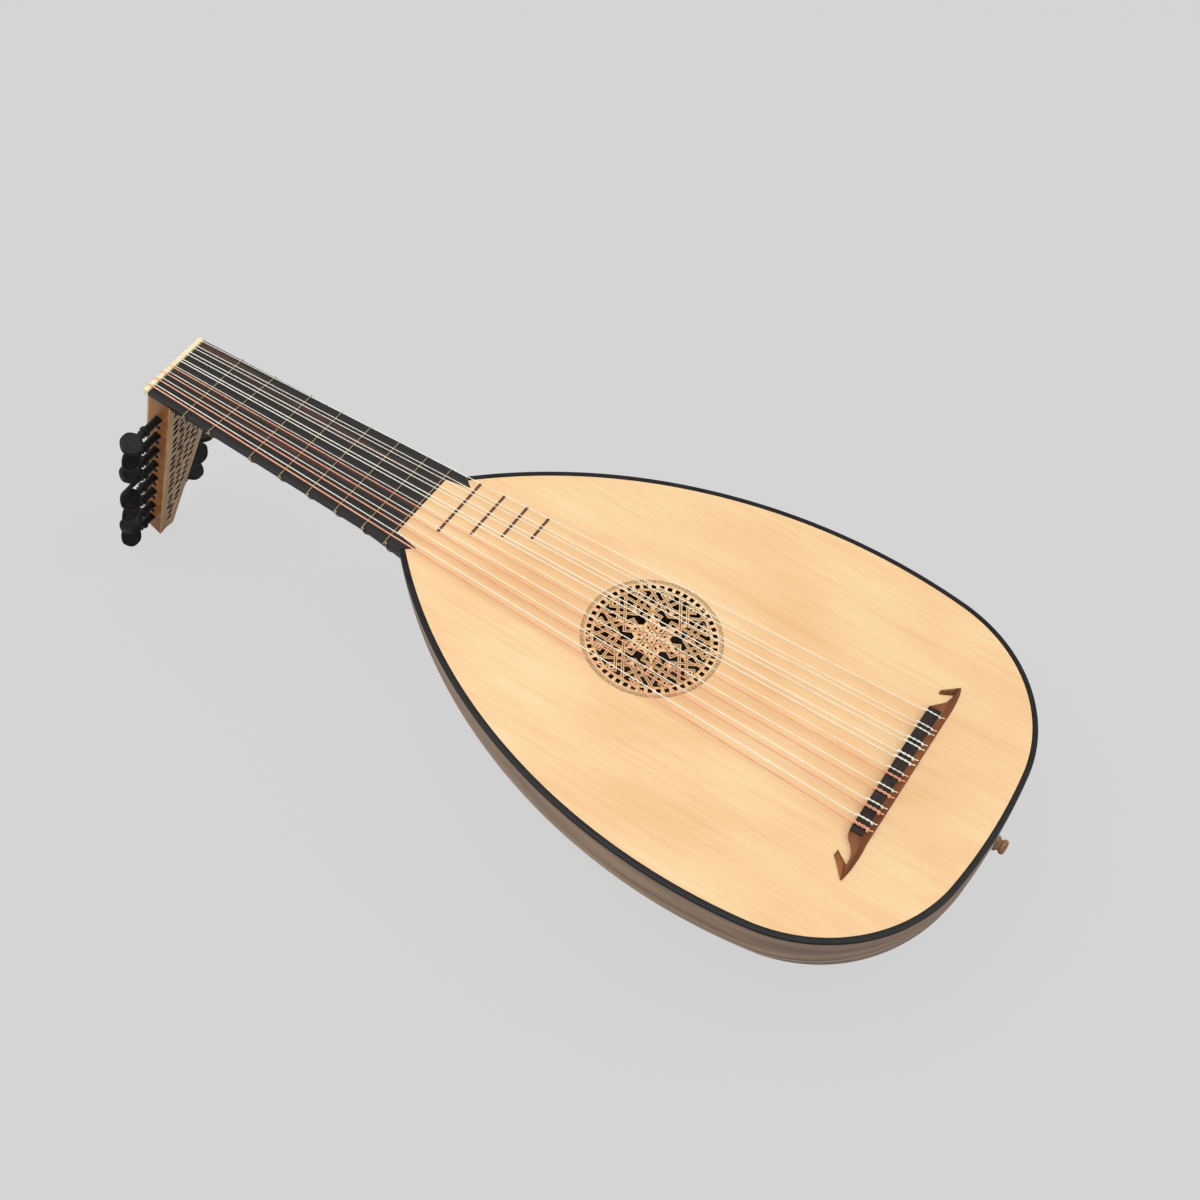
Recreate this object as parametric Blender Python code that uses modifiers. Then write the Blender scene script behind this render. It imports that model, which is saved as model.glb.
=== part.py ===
"""Renaissance lute with eight courses, modelled as its separate pieces.

Instrument frame: X from the nut to the tail, Y to the treble side, Z up from the
soundboard, origin on the nut's inner edge. The empty "rest" lays it on its back.
"""
from math import acos, atan, atan2, cos, degrees, hypot, pi, radians, sin, tan

import bmesh
import bpy
from mathutils import Matrix, Vector

for old in list(bpy.data.objects):
    bpy.data.objects.remove(old)

# Strings and frets
STRING_LENGTH = 0.600
FRETS_TIED = 8
FRET_RADIUS = 0.00045
FRET_AIR = 0.0003
# How far each tied fret was pushed from its tempered place, nut to body
FRET_NUDGE = (0.0008, -0.0072, 0.0009, -0.0001, -0.0014, -0.0016, -0.0010, -0.0032)
FRET_SLANT = (0.0, 0.0062, 0.0, 0.0, 0.0, 0.0, 0.0, 0.0)
KNOT_TAIL = 0.0010
FRET_CORNER = 0.0006
KNOT_SPREAD = 0.0016
KNOT_DROP = 0.0026
BODY_FRET_WIDTH = 0.0016
BODY_FRET_HEIGHT = 0.0006
# Bass and treble end of each body fret, ninth to twelfth
BODY_FRET_ENDS = ((-0.0123, 0.0418), (-0.0005, 0.0426), (0.0105, 0.0437), (0.0212, 0.0438))
# Each string: place at the bridge and at the nut as shares of their half-widths, and diameter
STRINGS = (
    (0.916, 0.938, 0.0005),
    (0.715, 0.722, 0.0005), (0.645, 0.633, 0.0005),
    (0.470, 0.481, 0.0006), (0.400, 0.392, 0.0006),
    (0.226, 0.210, 0.0007), (0.148, 0.139, 0.0007),
    (-0.024, -0.049, 0.0005), (-0.113, -0.108, 0.0008),
    (-0.285, -0.265, 0.0006), (-0.372, -0.349, 0.0009),
    (-0.544, -0.500, 0.0006), (-0.631, -0.593, 0.0010),
    (-0.796, -0.744, 0.0007), (-0.902, -0.827, 0.0011),
)
STRING_AIR = 0.00015
# String behind the bridge: how far its end reaches and drops, and its bends at the cap
TAIL_END = 0.0033
TAIL_DROP = 0.0013
TAIL_BEND = 0.0012
WINDING_AIR = 0.00045
WINDING_GAP = 0.00055
WINDING_TURNS = 2.25
WINDING_POINTS = 8

# Body seen from above: tangent arcs of the inner edge line, tail to neck
TAIL_RADIUS = 0.4440
LOWER_RADIUS = 0.1141
FLANK_RADIUS = 0.4108
SHOULDER_RADIUS = 0.3851
BODY_RADII = (TAIL_RADIUS, LOWER_RADIUS, FLANK_RADIUS, SHOULDER_RADIUS)
BODY_SWEEPS = (6.67, 75.04, 31.53, 22.27)
BODY_STEPS = (3, 11, 7, 5)
# The neck meets the body this many frets from the nut
NECK_FRETS = 8.392
NOTCH_AIR = 0.0007
EDGE_WIDTH = 0.0042
EDGE_TOP = 0.0012
EDGE_SIDE = 0.0010
BOARD_THICKNESS = 0.0024
SEAT_GAP = 0.0003
RIB_COUNT = 11
RIB_THICKNESS = 0.0018
BOWL_RATIO = 0.83
RIB_TAIL_HALF = 0.0030

# Neck, fingerboard and nut
NUT_HALF = 0.0324
# The body is this much wider than the neck, each side, where they meet
JOINT_STEP = 0.0007
FINGERBOARD_THICKNESS = 0.0030
FINGERBOARD_SETBACK = 0.0099
FINGERBOARD_END_INSET = 0.0101
BEARD_LENGTH = 0.0190
BEARD_STEP = 0.0006
BEARD_SHOULDER = 0.0028
BEARD_INSET = 0.0067
NECK_DEPTH_AT_NUT = 0.0185
NECK_STATIONS = 7
NECK_FACETS = 18
BLOCK_LENGTH = 0.0315
BLOCK_STEP = 0.0002
BLOCK_STATIONS = 4
BLOCK_SHRINK = 0.0036
BLOCK_DROP = 0.0005
TONGUE_FRONT = -0.0030
TONGUE_SLANT = 0.0014
TONGUE_FACE = 0.0062
TONGUE_ROOT = 0.0030
NUT_LENGTH = 0.0049
NUT_TOP = 0.0018
NUT_CHAMFER = 0.0009

# Pegbox: its frame runs down from the nut end, depth to the front
PEGBOX_X = 0.0214
PEGBOX_TILT = 13.37
PEGBOX_LENGTH = 0.2193
PEGBOX_TIP_HALF = 0.0083
CHEEK_THICKNESS = 0.0042
CHEEK_DEPTH = 0.0207
CHEEK_TIP_DEPTH = 0.0170
CHEEK_END_SLANT = 0.0050
NECK_TONGUE_END = 0.0145
PLATE_START = 0.0148
PLATE_THICKNESS = 0.0040
PLATE_BORDER = 0.0038
PLATE_SETBACK = 0.0010
PLATE_STEM = 0.0011
PLATE_LEAF_GAP = 0.0025
PLATE_LEAF_LEAST = 0.0024
END_BLOCK_LENGTH = 0.0070
PLATE_BAR_PLACE = 0.1480
PLATE_BAR_LENGTH = 0.0040
PLATE_LEAF_STEP = 0.0125

# Pegs: place of each one as a share of the pegbox's length, nut end first
BASS_PEGS = (0.1423, 0.2595, 0.3648, 0.4724, 0.5787, 0.6863, 0.8003, 0.9011)
TREBLE_PEGS = (0.2011, 0.3119, 0.4186, 0.5253, 0.6325, 0.7433, 0.8504)
# How each peg's head is turned, and how much further out than the plain peg it stands
BASS_TURNS = (73, 35, 88, -17, 60, 25, 100, 55)
TREBLE_TURNS = (75, 75, 60, 60, 120, 45, 90)
BASS_REACH = (0.0020, 0.0015, 0.0010, 0.0005, 0.0, -0.0010, -0.0020, -0.0030)
TREBLE_REACH = (-0.0065, 0.0, 0.0005, -0.0005, 0.0, -0.0010, -0.0015)
# Where each string reaches its peg, as a share of the room from the middle to the cheek
BASS_WINDINGS = (0.80, 0.80, 0.75, 0.72, 0.65, 0.59, 0.49, 0.38)
TREBLE_WINDINGS = (0.79, 0.76, 0.73, 0.70, 0.66, 0.52, 0.38)
PEG_DEPTH = 0.0097
PEG_THIN = 0.0024
PEG_THICK = 0.0031
PEG_OUT = 0.0003
PEG_SIDES = 8
PEG_HOLE_AIR = 0.00045
# Peg outside its cheek: distance out, half-width, half-thickness
PEG_HEAD = (
    (0.0118, 0.0031, 0.0031), (0.0123, 0.0043, 0.0043), (0.0146, 0.0043, 0.0043),
    (0.0153, 0.0026, 0.0026), (0.0170, 0.0026, 0.0026), (0.0174, 0.0036, 0.0036),
    (0.0190, 0.0024, 0.0024), (0.0212, 0.0050, 0.0027), (0.0240, 0.0080, 0.0027),
    (0.0278, 0.0088, 0.0025), (0.0318, 0.0084, 0.0021), (0.0350, 0.0062, 0.0017),
    (0.0372, 0.0030, 0.0012), (0.0380, 0.0009, 0.0007),
)

# Rose
ROSE_FROM_NECK = 0.1839
ROSE_Y = -0.0010
ROSE_RADIUS = 0.0454
ROSE_RING_COUNT = 48
ROSE_RING_HOLE = 0.0029
ROSE_RIM = 0.0404
# Straps of the knot: their width, and their distances from the rose's centre
STRAP_WIDTH = 0.0028
INNER_STRAP = 0.0192
OUTER_STRAP = 0.0242
CORE_STRAP = 0.0041
# Edges of the smaller straps that close an opening
CORE_EDGE = 0.01065
TRIANGLE_EDGE = 0.0114
CHEVRON_EDGE = 0.03045

# Bars under the soundboard
BARS_FROM_NECK = (0.0595, 0.1145, 0.2445, 0.2895, 0.3345)
BAR_WIDTH = 0.0050
BAR_HEIGHT = 0.0130
BAR_END_GAP = 0.0075

# Bridge, in its own frame: front edge at zero, X to the tail
BRIDGE_X = STRING_LENGTH - 0.0007
BRIDGE_SKEW = 0.9
BRIDGE_HALF = 0.0583
BRIDGE_TOP = 0.0049
BRIDGE_CAP_TOP = 0.0065
BRIDGE_CAP_LENGTH = 0.0092
BRIDGE_FOOT = 0.0140
BRIDGE_EDGE = 0.0004
BRIDGE_ARM_TOP = 0.0026
BRIDGE_ARM_TREBLE = (
    (0.0008, 0.0560), (0.0008, 0.0600), (0.0050, 0.0654), (0.0080, 0.0694), (0.0094, 0.0745),
    (0.0095, 0.0793), (0.0050, 0.0769), (0.0004, 0.0746), (0.0000, 0.0780), (0.0048, 0.0820),
    (0.0106, 0.0876), (0.0122, 0.0852), (0.0134, 0.0775), (0.0140, 0.0690), (0.0134, 0.0560),
)
BRIDGE_ARM_BASS = (
    (0.0008, 0.0560), (0.0008, 0.0606), (0.0050, 0.0652), (0.0083, 0.0700), (0.0099, 0.0755),
    (0.0100, 0.0798), (0.0050, 0.0763), (0.0004, 0.0730), (0.0000, 0.0780), (0.0042, 0.0822),
    (0.0119, 0.0919), (0.0134, 0.0880), (0.0144, 0.0800), (0.0147, 0.0700), (0.0134, 0.0560),
)

# Strap button: distance out from its seat, radius
BUTTON_DROP = 0.0115
BUTTON_SIDES = 16
BUTTON_PROFILE = (
    (0.0084, 0.0), (0.0082, 0.0034), (0.0076, 0.0048), (0.0064, 0.0054), (0.0052, 0.0053),
    (0.0042, 0.0047), (0.0035, 0.0038), (0.0029, 0.0040), (0.0020, 0.0049), (0.0010, 0.0055),
    (0.0, 0.0057), (0.0, 0.0),
)

parts = bpy.data.collections.new("renaissance_lute")
cutters = bpy.data.collections.new("cutters")
for group in (parts, cutters):
    bpy.context.scene.collection.children.link(group)
rest = bpy.data.objects.new("rest", None)
parts.objects.link(rest)


def material(name, colour, roughness):
    shade = bpy.data.materials.new(name)
    shade.use_nodes = True
    shader = shade.node_tree.nodes["Principled BSDF"]
    shader.inputs["Base Color"].default_value = (*colour, 1.0)
    shader.inputs["Roughness"].default_value = roughness
    return shade


SPRUCE = material("spruce", (0.88, 0.63, 0.35), 0.45)
RIB_WOOD = material("rib_wood", (0.36, 0.27, 0.19), 0.35)
CHEEK_WOOD = material("cheek_wood", (0.30, 0.16, 0.07), 0.35)
EBONY = material("ebony", (0.03, 0.028, 0.027), 0.35)
BRIDGE_WOOD = material("bridge_wood", (0.27, 0.11, 0.04), 0.4)
IVORY = material("ivory", (0.83, 0.72, 0.52), 0.4)
GUT = material("gut", (0.80, 0.74, 0.58), 0.4)
COPPER_GUT = material("copper_gut", (0.75, 0.36, 0.18), 0.35)


def add_object(name, data, group, shade=None):
    thing = bpy.data.objects.new(name, data)
    group.objects.link(thing)
    thing.parent = rest
    if shade:
        data.materials.append(shade)
    if group is cutters:
        thing.hide_render = True
        thing.display_type = "WIRE"
    return thing


def loft(name, rings, shade=None, group=None, origin=(0.0, 0.0, 0.0)):
    """Closed solid through rings of equal count, its two ends capped."""
    base = Vector(origin)
    mesh = bmesh.new()
    rows = []
    for ring in rings:
        rows.append([mesh.verts.new(Vector(point) - base) for point in ring])
    for low, high in zip(rows, rows[1:]):
        for k, corner in enumerate(low):
            nxt = (k + 1) % len(low)
            mesh.faces.new((corner, low[nxt], high[nxt], high[k]))
    mesh.faces.new(list(reversed(rows[0])))
    mesh.faces.new(rows[-1])
    bmesh.ops.recalc_face_normals(mesh, faces=mesh.faces)
    data = bpy.data.meshes.new(name)
    mesh.to_mesh(data)
    mesh.free()
    thing = add_object(name, data, group or parts, shade)
    thing.location = base
    return thing


def prisms(name, outlines, low, high, group=None, shade=None):
    """Several flat outlines, each raised from low to high, as one object."""
    mesh = bmesh.new()
    for outline_points in outlines:
        floor = mesh.faces.new([mesh.verts.new((x, y, low)) for x, y in outline_points])
        raised = bmesh.ops.extrude_face_region(mesh, geom=[floor])
        moved = [item for item in raised["geom"] if isinstance(item, bmesh.types.BMVert)]
        bmesh.ops.translate(mesh, verts=moved, vec=(0.0, 0.0, high - low))
    bmesh.ops.recalc_face_normals(mesh, faces=mesh.faces)
    data = bpy.data.meshes.new(name)
    mesh.to_mesh(data)
    mesh.free()
    return add_object(name, data, group or parts, shade)


def boolean(thing, tool, operation):
    step = thing.modifiers.new(tool.name, "BOOLEAN")
    step.object = tool
    step.operation = operation
    step.solver = "EXACT"


def tube(name, points, radius, shade):
    """Round cord along points."""
    curve = bpy.data.curves.new(name, "CURVE")
    curve.dimensions = "3D"
    curve.bevel_depth = radius
    curve.bevel_resolution = 1
    curve.use_fill_caps = True
    curve.render_resolution_u = 0
    spline = curve.splines.new("POLY")
    spline.points.add(len(points) - 1)
    for place, point in zip(spline.points, points):
        place.co = (*point, 1.0)
    return add_object(name, curve, parts, shade)


# Body outline


def outline_from(tail_x, inset, gap):
    """Half outline, tail to neck, with its heading; inset runs in from the outer line."""
    grow = EDGE_WIDTH - inset
    turns = [radians(sweep) for sweep in BODY_SWEEPS]
    turns[-1] -= gap / (SHOULDER_RADIUS + grow)
    x, y, heading = tail_x + grow, 0.0, pi / 2
    places = [(x, y, heading)]
    for radius, turn, steps in zip(BODY_RADII, turns, BODY_STEPS):
        reach = radius + grow
        centre_x = x - reach * sin(heading)
        centre_y = y + reach * cos(heading)
        for step in range(1, steps + 1):
            angle = heading + turn * step / steps
            places.append((centre_x + reach * sin(angle), centre_y - reach * cos(angle), angle))
        x, y, heading = places[-1]
    return places


def mirrored(half):
    """Whole loop from a treble half that starts on the centre line."""
    whole = [(x, -y) for x, y in reversed(half[1:])]
    return whole + list(half)


END_GAP = 2 * SEAT_GAP
JOINT_X = STRING_LENGTH * (1 - 2 ** (-NECK_FRETS / 12))
TAIL_X = JOINT_X - outline_from(0.0, 0.0, 0.0)[-1][0]


def outline(inset, gap=0.0):
    return outline_from(TAIL_X, inset, gap)


JOINT_HALF = outline(0.0)[-1][1]
NECK_TAPER = (JOINT_HALF - JOINT_STEP - NUT_HALF) / JOINT_X
OUTER = outline(0.0, END_GAP)
ROSE_X = JOINT_X + ROSE_FROM_NECK
FINGERBOARD_END = JOINT_X - FINGERBOARD_SETBACK


def half_width(x):
    """Half-width of the body's outer line at x, on its neck side."""
    for (x0, y0, _), (x1, y1, _) in zip(OUTER, OUTER[1:]):
        if x1 <= x <= x0:
            return y0 + (y1 - y0) * (x - x0) / (x1 - x0)
    return JOINT_HALF


def neck_half(x):
    return NUT_HALF + NECK_TAPER * x


TONGUE_HALF = neck_half(FINGERBOARD_END) - FINGERBOARD_END_INSET
BEARD_HALF = neck_half(FINGERBOARD_END) - BEARD_INSET


# Soundboard with its rose, bars and body frets


def flat(places):
    return [(x, y) for x, y, _ in places]


def board_layer(inset):
    """Outline of one layer of the soundboard, with the two beard notches."""
    half = flat(outline(inset, END_GAP))
    notch_tip = (FINGERBOARD_END + BEARD_LENGTH + NOTCH_AIR, BEARD_HALF)
    tongue = (FINGERBOARD_END + SEAT_GAP, TONGUE_HALF - SEAT_GAP)
    return mirrored(half + [notch_tip, tongue])


TOP_INSET = EDGE_WIDTH + SEAT_GAP
LOW_INSET = EDGE_SIDE + SEAT_GAP
REBATE_Z = -EDGE_TOP - SEAT_GAP
board_rings = []
BOARD_LAYERS = ((LOW_INSET, -BOARD_THICKNESS), (LOW_INSET, REBATE_Z), (TOP_INSET, REBATE_Z), (TOP_INSET, 0.0))
for inset, z in BOARD_LAYERS:
    board_rings.append([(x, y, z) for x, y in board_layer(inset)])
soundboard = loft("soundboard", board_rings, SPRUCE)


def turned(points, degrees_round, flip=1):
    """Points of the rose turned about its centre, after an optional mirroring."""
    angle = radians(degrees_round)
    places = []
    for x, y in points:
        across = flip * y
        turned_x = ROSE_X + x * cos(angle) - across * sin(angle)
        places.append((turned_x, ROSE_Y + x * sin(angle) + across * cos(angle)))
    return places


def meet(first, second):
    """Where two lines cross, each given by its normal's angle and its distance from the centre."""
    (turn_one, reach_one), (turn_two, reach_two) = first, second
    one, two = radians(turn_one), radians(turn_two)
    spread = sin(two - one)
    x = (reach_one * sin(two) - reach_two * sin(one)) / spread
    y = (reach_two * cos(one) - reach_one * cos(two)) / spread
    return x, y


def bounded(*lines):
    return [meet(one, two) for one, two in zip(lines, lines[1:] + lines[:1])]


def on_rim(turn, reach):
    """Where a line leaves the knot at its rim, on its counter-clockwise side."""
    angle = radians(turn) + acos(reach / ROSE_RIM)
    return ROSE_RIM * cos(angle), ROSE_RIM * sin(angle)


def rose_openings():
    """Openings between the straps: a ring of squares, then the knot's gaps, twelve or six times."""
    inner_near = INNER_STRAP - STRAP_WIDTH / 2
    inner_far = INNER_STRAP + STRAP_WIDTH / 2
    outer_near = OUTER_STRAP - STRAP_WIDTH / 2
    outer_far = OUTER_STRAP + STRAP_WIDTH / 2
    core_near = CORE_STRAP - STRAP_WIDTH / 2
    side = ROSE_RING_HOLE / 2
    ring = ROSE_RADIUS - side
    ring_square = [(ring - side, -side), (ring + side, -side), (ring + side, side), (ring - side, side)]
    square = bounded((-45, inner_far), (45, inner_far), (-45, outer_near), (45, outer_near))
    kite = bounded((-30, outer_far), (30, outer_far), (-60, inner_near), (60, inner_near))
    triangle = bounded((-30, inner_far), (60, inner_near), (-60, TRIANGLE_EDGE))
    chevron = [
        meet((60, inner_far), (-30, outer_far)), meet((-30, outer_far), (60, outer_near)),
        meet((60, outer_near), (-30, CHEVRON_EDGE)), on_rim(-30, CHEVRON_EDGE),
        on_rim(-60, inner_near), meet((-60, inner_near), (60, inner_far)),
    ]
    half_heart = bounded(
        (90, 0.0), (-30, CORE_EDGE), (90, core_near), (0, inner_far), (60, inner_near), (-30, inner_near),
    )
    heart = half_heart + [(x, -y) for x, y in reversed(half_heart[1:-1])]
    openings = [turned(ring_square, 360 * k / ROSE_RING_COUNT) for k in range(ROSE_RING_COUNT)]
    for turn in range(0, 360, 30):
        openings.append(turned(square, turn + 15))
        openings.append(turned(kite, turn))
        for flip in (-1, 1):
            openings.append(turned(triangle, turn, flip))
            openings.append(turned(chevron, turn, flip))
    for turn in range(30, 390, 60):
        openings.append(turned(heart, turn))
    return openings


rose_cutter = prisms("rose_cutter", rose_openings(), -2 * BOARD_THICKNESS, BOARD_THICKNESS, cutters)


def bar_outlines():
    outlines = []
    for place in BARS_FROM_NECK:
        x = JOINT_X + place
        half = half_width(x) - BAR_END_GAP
        outlines.append([(x, -half), (x + BAR_WIDTH, -half), (x + BAR_WIDTH, half), (x, half)])
    return outlines


def body_fret_outlines():
    outlines = []
    for k, (bass, treble) in enumerate(BODY_FRET_ENDS):
        x = STRING_LENGTH * (1 - 2 ** (-(FRETS_TIED + 1 + k) / 12))
        half = BODY_FRET_WIDTH / 2
        outlines.append([(x - half, bass), (x + half, bass), (x + half, treble), (x - half, treble)])
    return outlines


bars = prisms("bars", bar_outlines(), -BOARD_THICKNESS - BAR_HEIGHT, -BOARD_THICKNESS / 2, cutters)
body_frets = prisms("body_frets", body_fret_outlines(), -BOARD_THICKNESS / 2, BODY_FRET_HEIGHT, cutters)
boolean(soundboard, bars, "UNION")
boolean(soundboard, body_frets, "UNION")
boolean(soundboard, rose_cutter, "DIFFERENCE")

# Edge binding, an L section swept round the body
BINDING_SECTION = (
    (0.0, 0.0), (EDGE_WIDTH, 0.0), (EDGE_WIDTH, -EDGE_TOP), (EDGE_SIDE, -EDGE_TOP),
    (EDGE_SIDE, -BOARD_THICKNESS), (0.0, -BOARD_THICKNESS),
)
lines = [mirrored(flat(outline(inset, END_GAP))) for inset, _ in BINDING_SECTION]
binding_rings = []
for k in range(len(lines[0])):
    binding_rings.append([(*line[k], z) for line, (_, z) in zip(lines, BINDING_SECTION)])
loft("edge_binding", binding_rings, EBONY)

# Bowl of ribs
RIB_TOP = -BOARD_THICKNESS - SEAT_GAP


def bowl_point(x, half, t):
    return Vector((x, half * cos(t), RIB_TOP - BOWL_RATIO * half * sin(t)))


def bowl_normal(heading, t):
    normal = Vector((BOWL_RATIO * sin(heading), -BOWL_RATIO * cos(heading) * cos(t), cos(heading) * sin(t)))
    return normal.normalized()


def rib_stations():
    stations = [(OUTER[0][0], RIB_TAIL_HALF, OUTER[0][2])]
    stations.extend(OUTER[1:])
    return stations


for number in range(RIB_COUNT):
    first = pi * number / RIB_COUNT
    second = pi * (number + 1) / RIB_COUNT
    rings = []
    for x, half, heading in rib_stations():
        near = bowl_point(x, half, first)
        far = bowl_point(x, half, second)
        across = (far - near).normalized() * SEAT_GAP / 2
        near += across
        far -= across
        near_in = near - RIB_THICKNESS * bowl_normal(heading, first)
        far_in = far - RIB_THICKNESS * bowl_normal(heading, second)
        rings.append([near, far, far_in, near_in])
    loft(f"rib_{number + 1:02d}", rings, RIB_WOOD)

# Fingerboard with its two beards let into the soundboard
fingerboard_half = [
    (SEAT_GAP, 0.0),
    (SEAT_GAP, neck_half(0.0)),
    (JOINT_X + BEARD_STEP, neck_half(JOINT_X)),
    (JOINT_X + BEARD_SHOULDER, JOINT_HALF - BEARD_SHOULDER),
    (FINGERBOARD_END + BEARD_LENGTH, BEARD_HALF),
    (FINGERBOARD_END, TONGUE_HALF),
]
prisms("fingerboard", [mirrored(fingerboard_half)], -FINGERBOARD_THICKNESS, 0.0, None, EBONY)

# Neck, its block inside the bowl and its tongue between the cheeks
LEAN = tan(radians(PEGBOX_TILT))
UP = Vector((sin(radians(PEGBOX_TILT)), 0.0, cos(radians(PEGBOX_TILT))))
FRONT = Vector((-UP.z, 0.0, UP.x))
NECK_TOP = -FINGERBOARD_THICKNESS - SEAT_GAP


def pegbox_point(down, depth, y):
    return Vector((PEGBOX_X, 0.0, 0.0)) - UP * down + FRONT * depth + Vector((0.0, y, 0.0))


PEGBOX_HALF = neck_half(PEGBOX_X)


def pegbox_half(down):
    return PEGBOX_HALF + (PEGBOX_TIP_HALF - PEGBOX_HALF) * down / PEGBOX_LENGTH


def down_at(z, depth):
    """Distance down the pegbox where the line at this depth reaches z."""
    return (FRONT.z * depth - z) / UP.z


def neck_ring(half, depth, flat_facets=False):
    turns = [pi * k / NECK_FACETS for k in range(NECK_FACETS + 1)]
    points = [(half * cos(turn), -depth * sin(turn)) for turn in turns]
    if flat_facets:
        for k in range(1, NECK_FACETS, 2):
            before, after = points[k - 1], points[k + 1]
            points[k] = ((before[0] + after[0]) / 2, (before[1] + after[1]) / 2)
    return points


HEEL_DEPTH = BOWL_RATIO * JOINT_HALF - FINGERBOARD_THICKNESS + BOARD_THICKNESS


def neck_depth(x):
    share = (x - PEGBOX_X) / (JOINT_X - PEGBOX_X)
    return NECK_DEPTH_AT_NUT + (HEEL_DEPTH - NECK_DEPTH_AT_NUT) * share


neck_rings = []
for k in range(NECK_STATIONS):
    x = PEGBOX_X + SEAT_GAP + (JOINT_X - PEGBOX_X - SEAT_GAP) * k / (NECK_STATIONS - 1)
    ring = []
    for y, z in neck_ring(neck_half(x), neck_depth(x)):
        shift = LEAN * (z + NECK_TOP) if k == 0 else 0.0
        ring.append((x + shift, y, z + NECK_TOP))
    neck_rings.append(ring)
for k in range(BLOCK_STATIONS):
    x = JOINT_X + BLOCK_STEP + BLOCK_LENGTH * k / (BLOCK_STATIONS - 1)
    block_half = half_width(max(x, OUTER[-1][0])) - BLOCK_SHRINK
    block_depth = BOWL_RATIO * block_half - BLOCK_DROP
    neck_rings.append([(x, y, z + NECK_TOP) for y, z in neck_ring(block_half, block_depth, True)])
neck = loft("neck", neck_rings, EBONY)

tongue_profile = [
    (TONGUE_FRONT, NECK_TOP),
    (TONGUE_FRONT + TONGUE_SLANT, NECK_TOP - TONGUE_FACE),
    tuple(pegbox_point(NECK_TONGUE_END, -TONGUE_ROOT, 0.0).xz),
    (PEGBOX_X + TONGUE_ROOT, NECK_TOP),
]
tongue_rings = []
for side in (-1, 1):
    ring = []
    for x, z in tongue_profile:
        down = (Vector((PEGBOX_X, 0.0, 0.0)) - Vector((x, 0.0, z))).dot(UP)
        ring.append((x, side * (pegbox_half(down) - CHEEK_THICKNESS - SEAT_GAP), z))
    tongue_rings.append(ring)
neck_tongue = loft("neck_tongue", tongue_rings, None, cutters)
boolean(neck, neck_tongue, "UNION")

# Nut
nut_profile = (
    (0.0, NUT_TOP), (-NUT_LENGTH + NUT_CHAMFER, NUT_TOP), (-NUT_LENGTH, NUT_TOP - NUT_CHAMFER),
    (TONGUE_FRONT, NECK_TOP + SEAT_GAP), (0.0, NECK_TOP + SEAT_GAP),
)
nut_rings = [[(x, side * NUT_HALF, z) for x, z in nut_profile] for side in (-1, 1)]
loft("nut", nut_rings, IVORY)

# Cheeks of the pegbox, each drilled for every peg


def cheek(name, side):
    profile = (
        (down_at(NECK_TOP, 0.0), 0.0),
        (down_at(NECK_TOP, CHEEK_DEPTH), CHEEK_DEPTH),
        (PEGBOX_LENGTH - CHEEK_END_SLANT, CHEEK_TIP_DEPTH),
        (PEGBOX_LENGTH, 0.0),
    )
    outer = [pegbox_point(down, depth, side * pegbox_half(down)) for down, depth in profile]
    inner = []
    for down, depth in profile:
        inner.append(pegbox_point(down, depth, side * (pegbox_half(down) - CHEEK_THICKNESS)))
    return loft(name, (outer, inner), CHEEK_WOOD)


def peg_radius(y, down, side):
    """Radius of a peg's shaft at y; side is the side of its head."""
    share = (side * y + pegbox_half(down)) / (2 * pegbox_half(down))
    return PEG_THIN + (PEG_THICK - PEG_THIN) * share


peg_rows = []
for side, *row in ((-1, BASS_PEGS, BASS_TURNS, BASS_REACH), (1, TREBLE_PEGS, TREBLE_TURNS, TREBLE_REACH)):
    for share, turn, reach in zip(*row):
        peg_rows.append((PEGBOX_LENGTH * share, side, turn, reach))

holes = bmesh.new()
for down, side, *_ in peg_rows:
    reach = pegbox_half(down) + CHEEK_THICKNESS
    centre = pegbox_point(down, PEG_DEPTH, 0.0)
    bmesh.ops.create_cone(
        holes, cap_ends=True, segments=12, depth=2 * reach,
        radius1=peg_radius(-reach, down, side) + PEG_HOLE_AIR,
        radius2=peg_radius(reach, down, side) + PEG_HOLE_AIR,
        matrix=Matrix.Translation(centre) @ Matrix.Rotation(-pi / 2, 4, "X"),
    )
hole_data = bpy.data.meshes.new("peg_holes")
holes.to_mesh(hole_data)
holes.free()
peg_holes = add_object("peg_holes", hole_data, cutters)
for name, side in (("cheek_bass", -1), ("cheek_treble", 1)):
    boolean(cheek(name, side), peg_holes, "DIFFERENCE")

# Back plate of the pegbox, pierced with pairs of leaves, and the end block with it


def plate_half(down):
    return pegbox_half(down) - CHEEK_THICKNESS - SEAT_GAP


plate_end = PEGBOX_LENGTH - PLATE_SETBACK
block_start = PEGBOX_LENGTH - CHEEK_END_SLANT - END_BLOCK_LENGTH
block_front = CHEEK_TIP_DEPTH - PLATE_SETBACK
plate_profile = (
    (PLATE_START, 0.0), (PLATE_START, PLATE_THICKNESS), (block_start, PLATE_THICKNESS),
    (block_start, block_front), (plate_end - CHEEK_END_SLANT, block_front), (plate_end, 0.0),
)
plate_rings = []
for side in (-1, 1):
    plate_rings.append([pegbox_point(down, depth, side * plate_half(down)) for down, depth in plate_profile])
back_plate = loft("pegbox_back_plate", plate_rings, RIB_WOOD)


def leaf(start, length, side):
    """Outline of one leaf, on the given side of the plate's stem."""
    width = plate_half(start + length) - PLATE_BORDER - PLATE_STEM
    points = []
    for share in (0.0, 0.25, 0.55, 0.85, 1.0):
        points.append((start + length * share, PLATE_STEM + width * sin(pi * min(share, 0.9)) ** 0.7))
    for share in (0.85, 0.5, 0.2):
        points.append((start + length * share, PLATE_STEM + width * share / 4))
    return [(down, side * y) for down, y in points]


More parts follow.
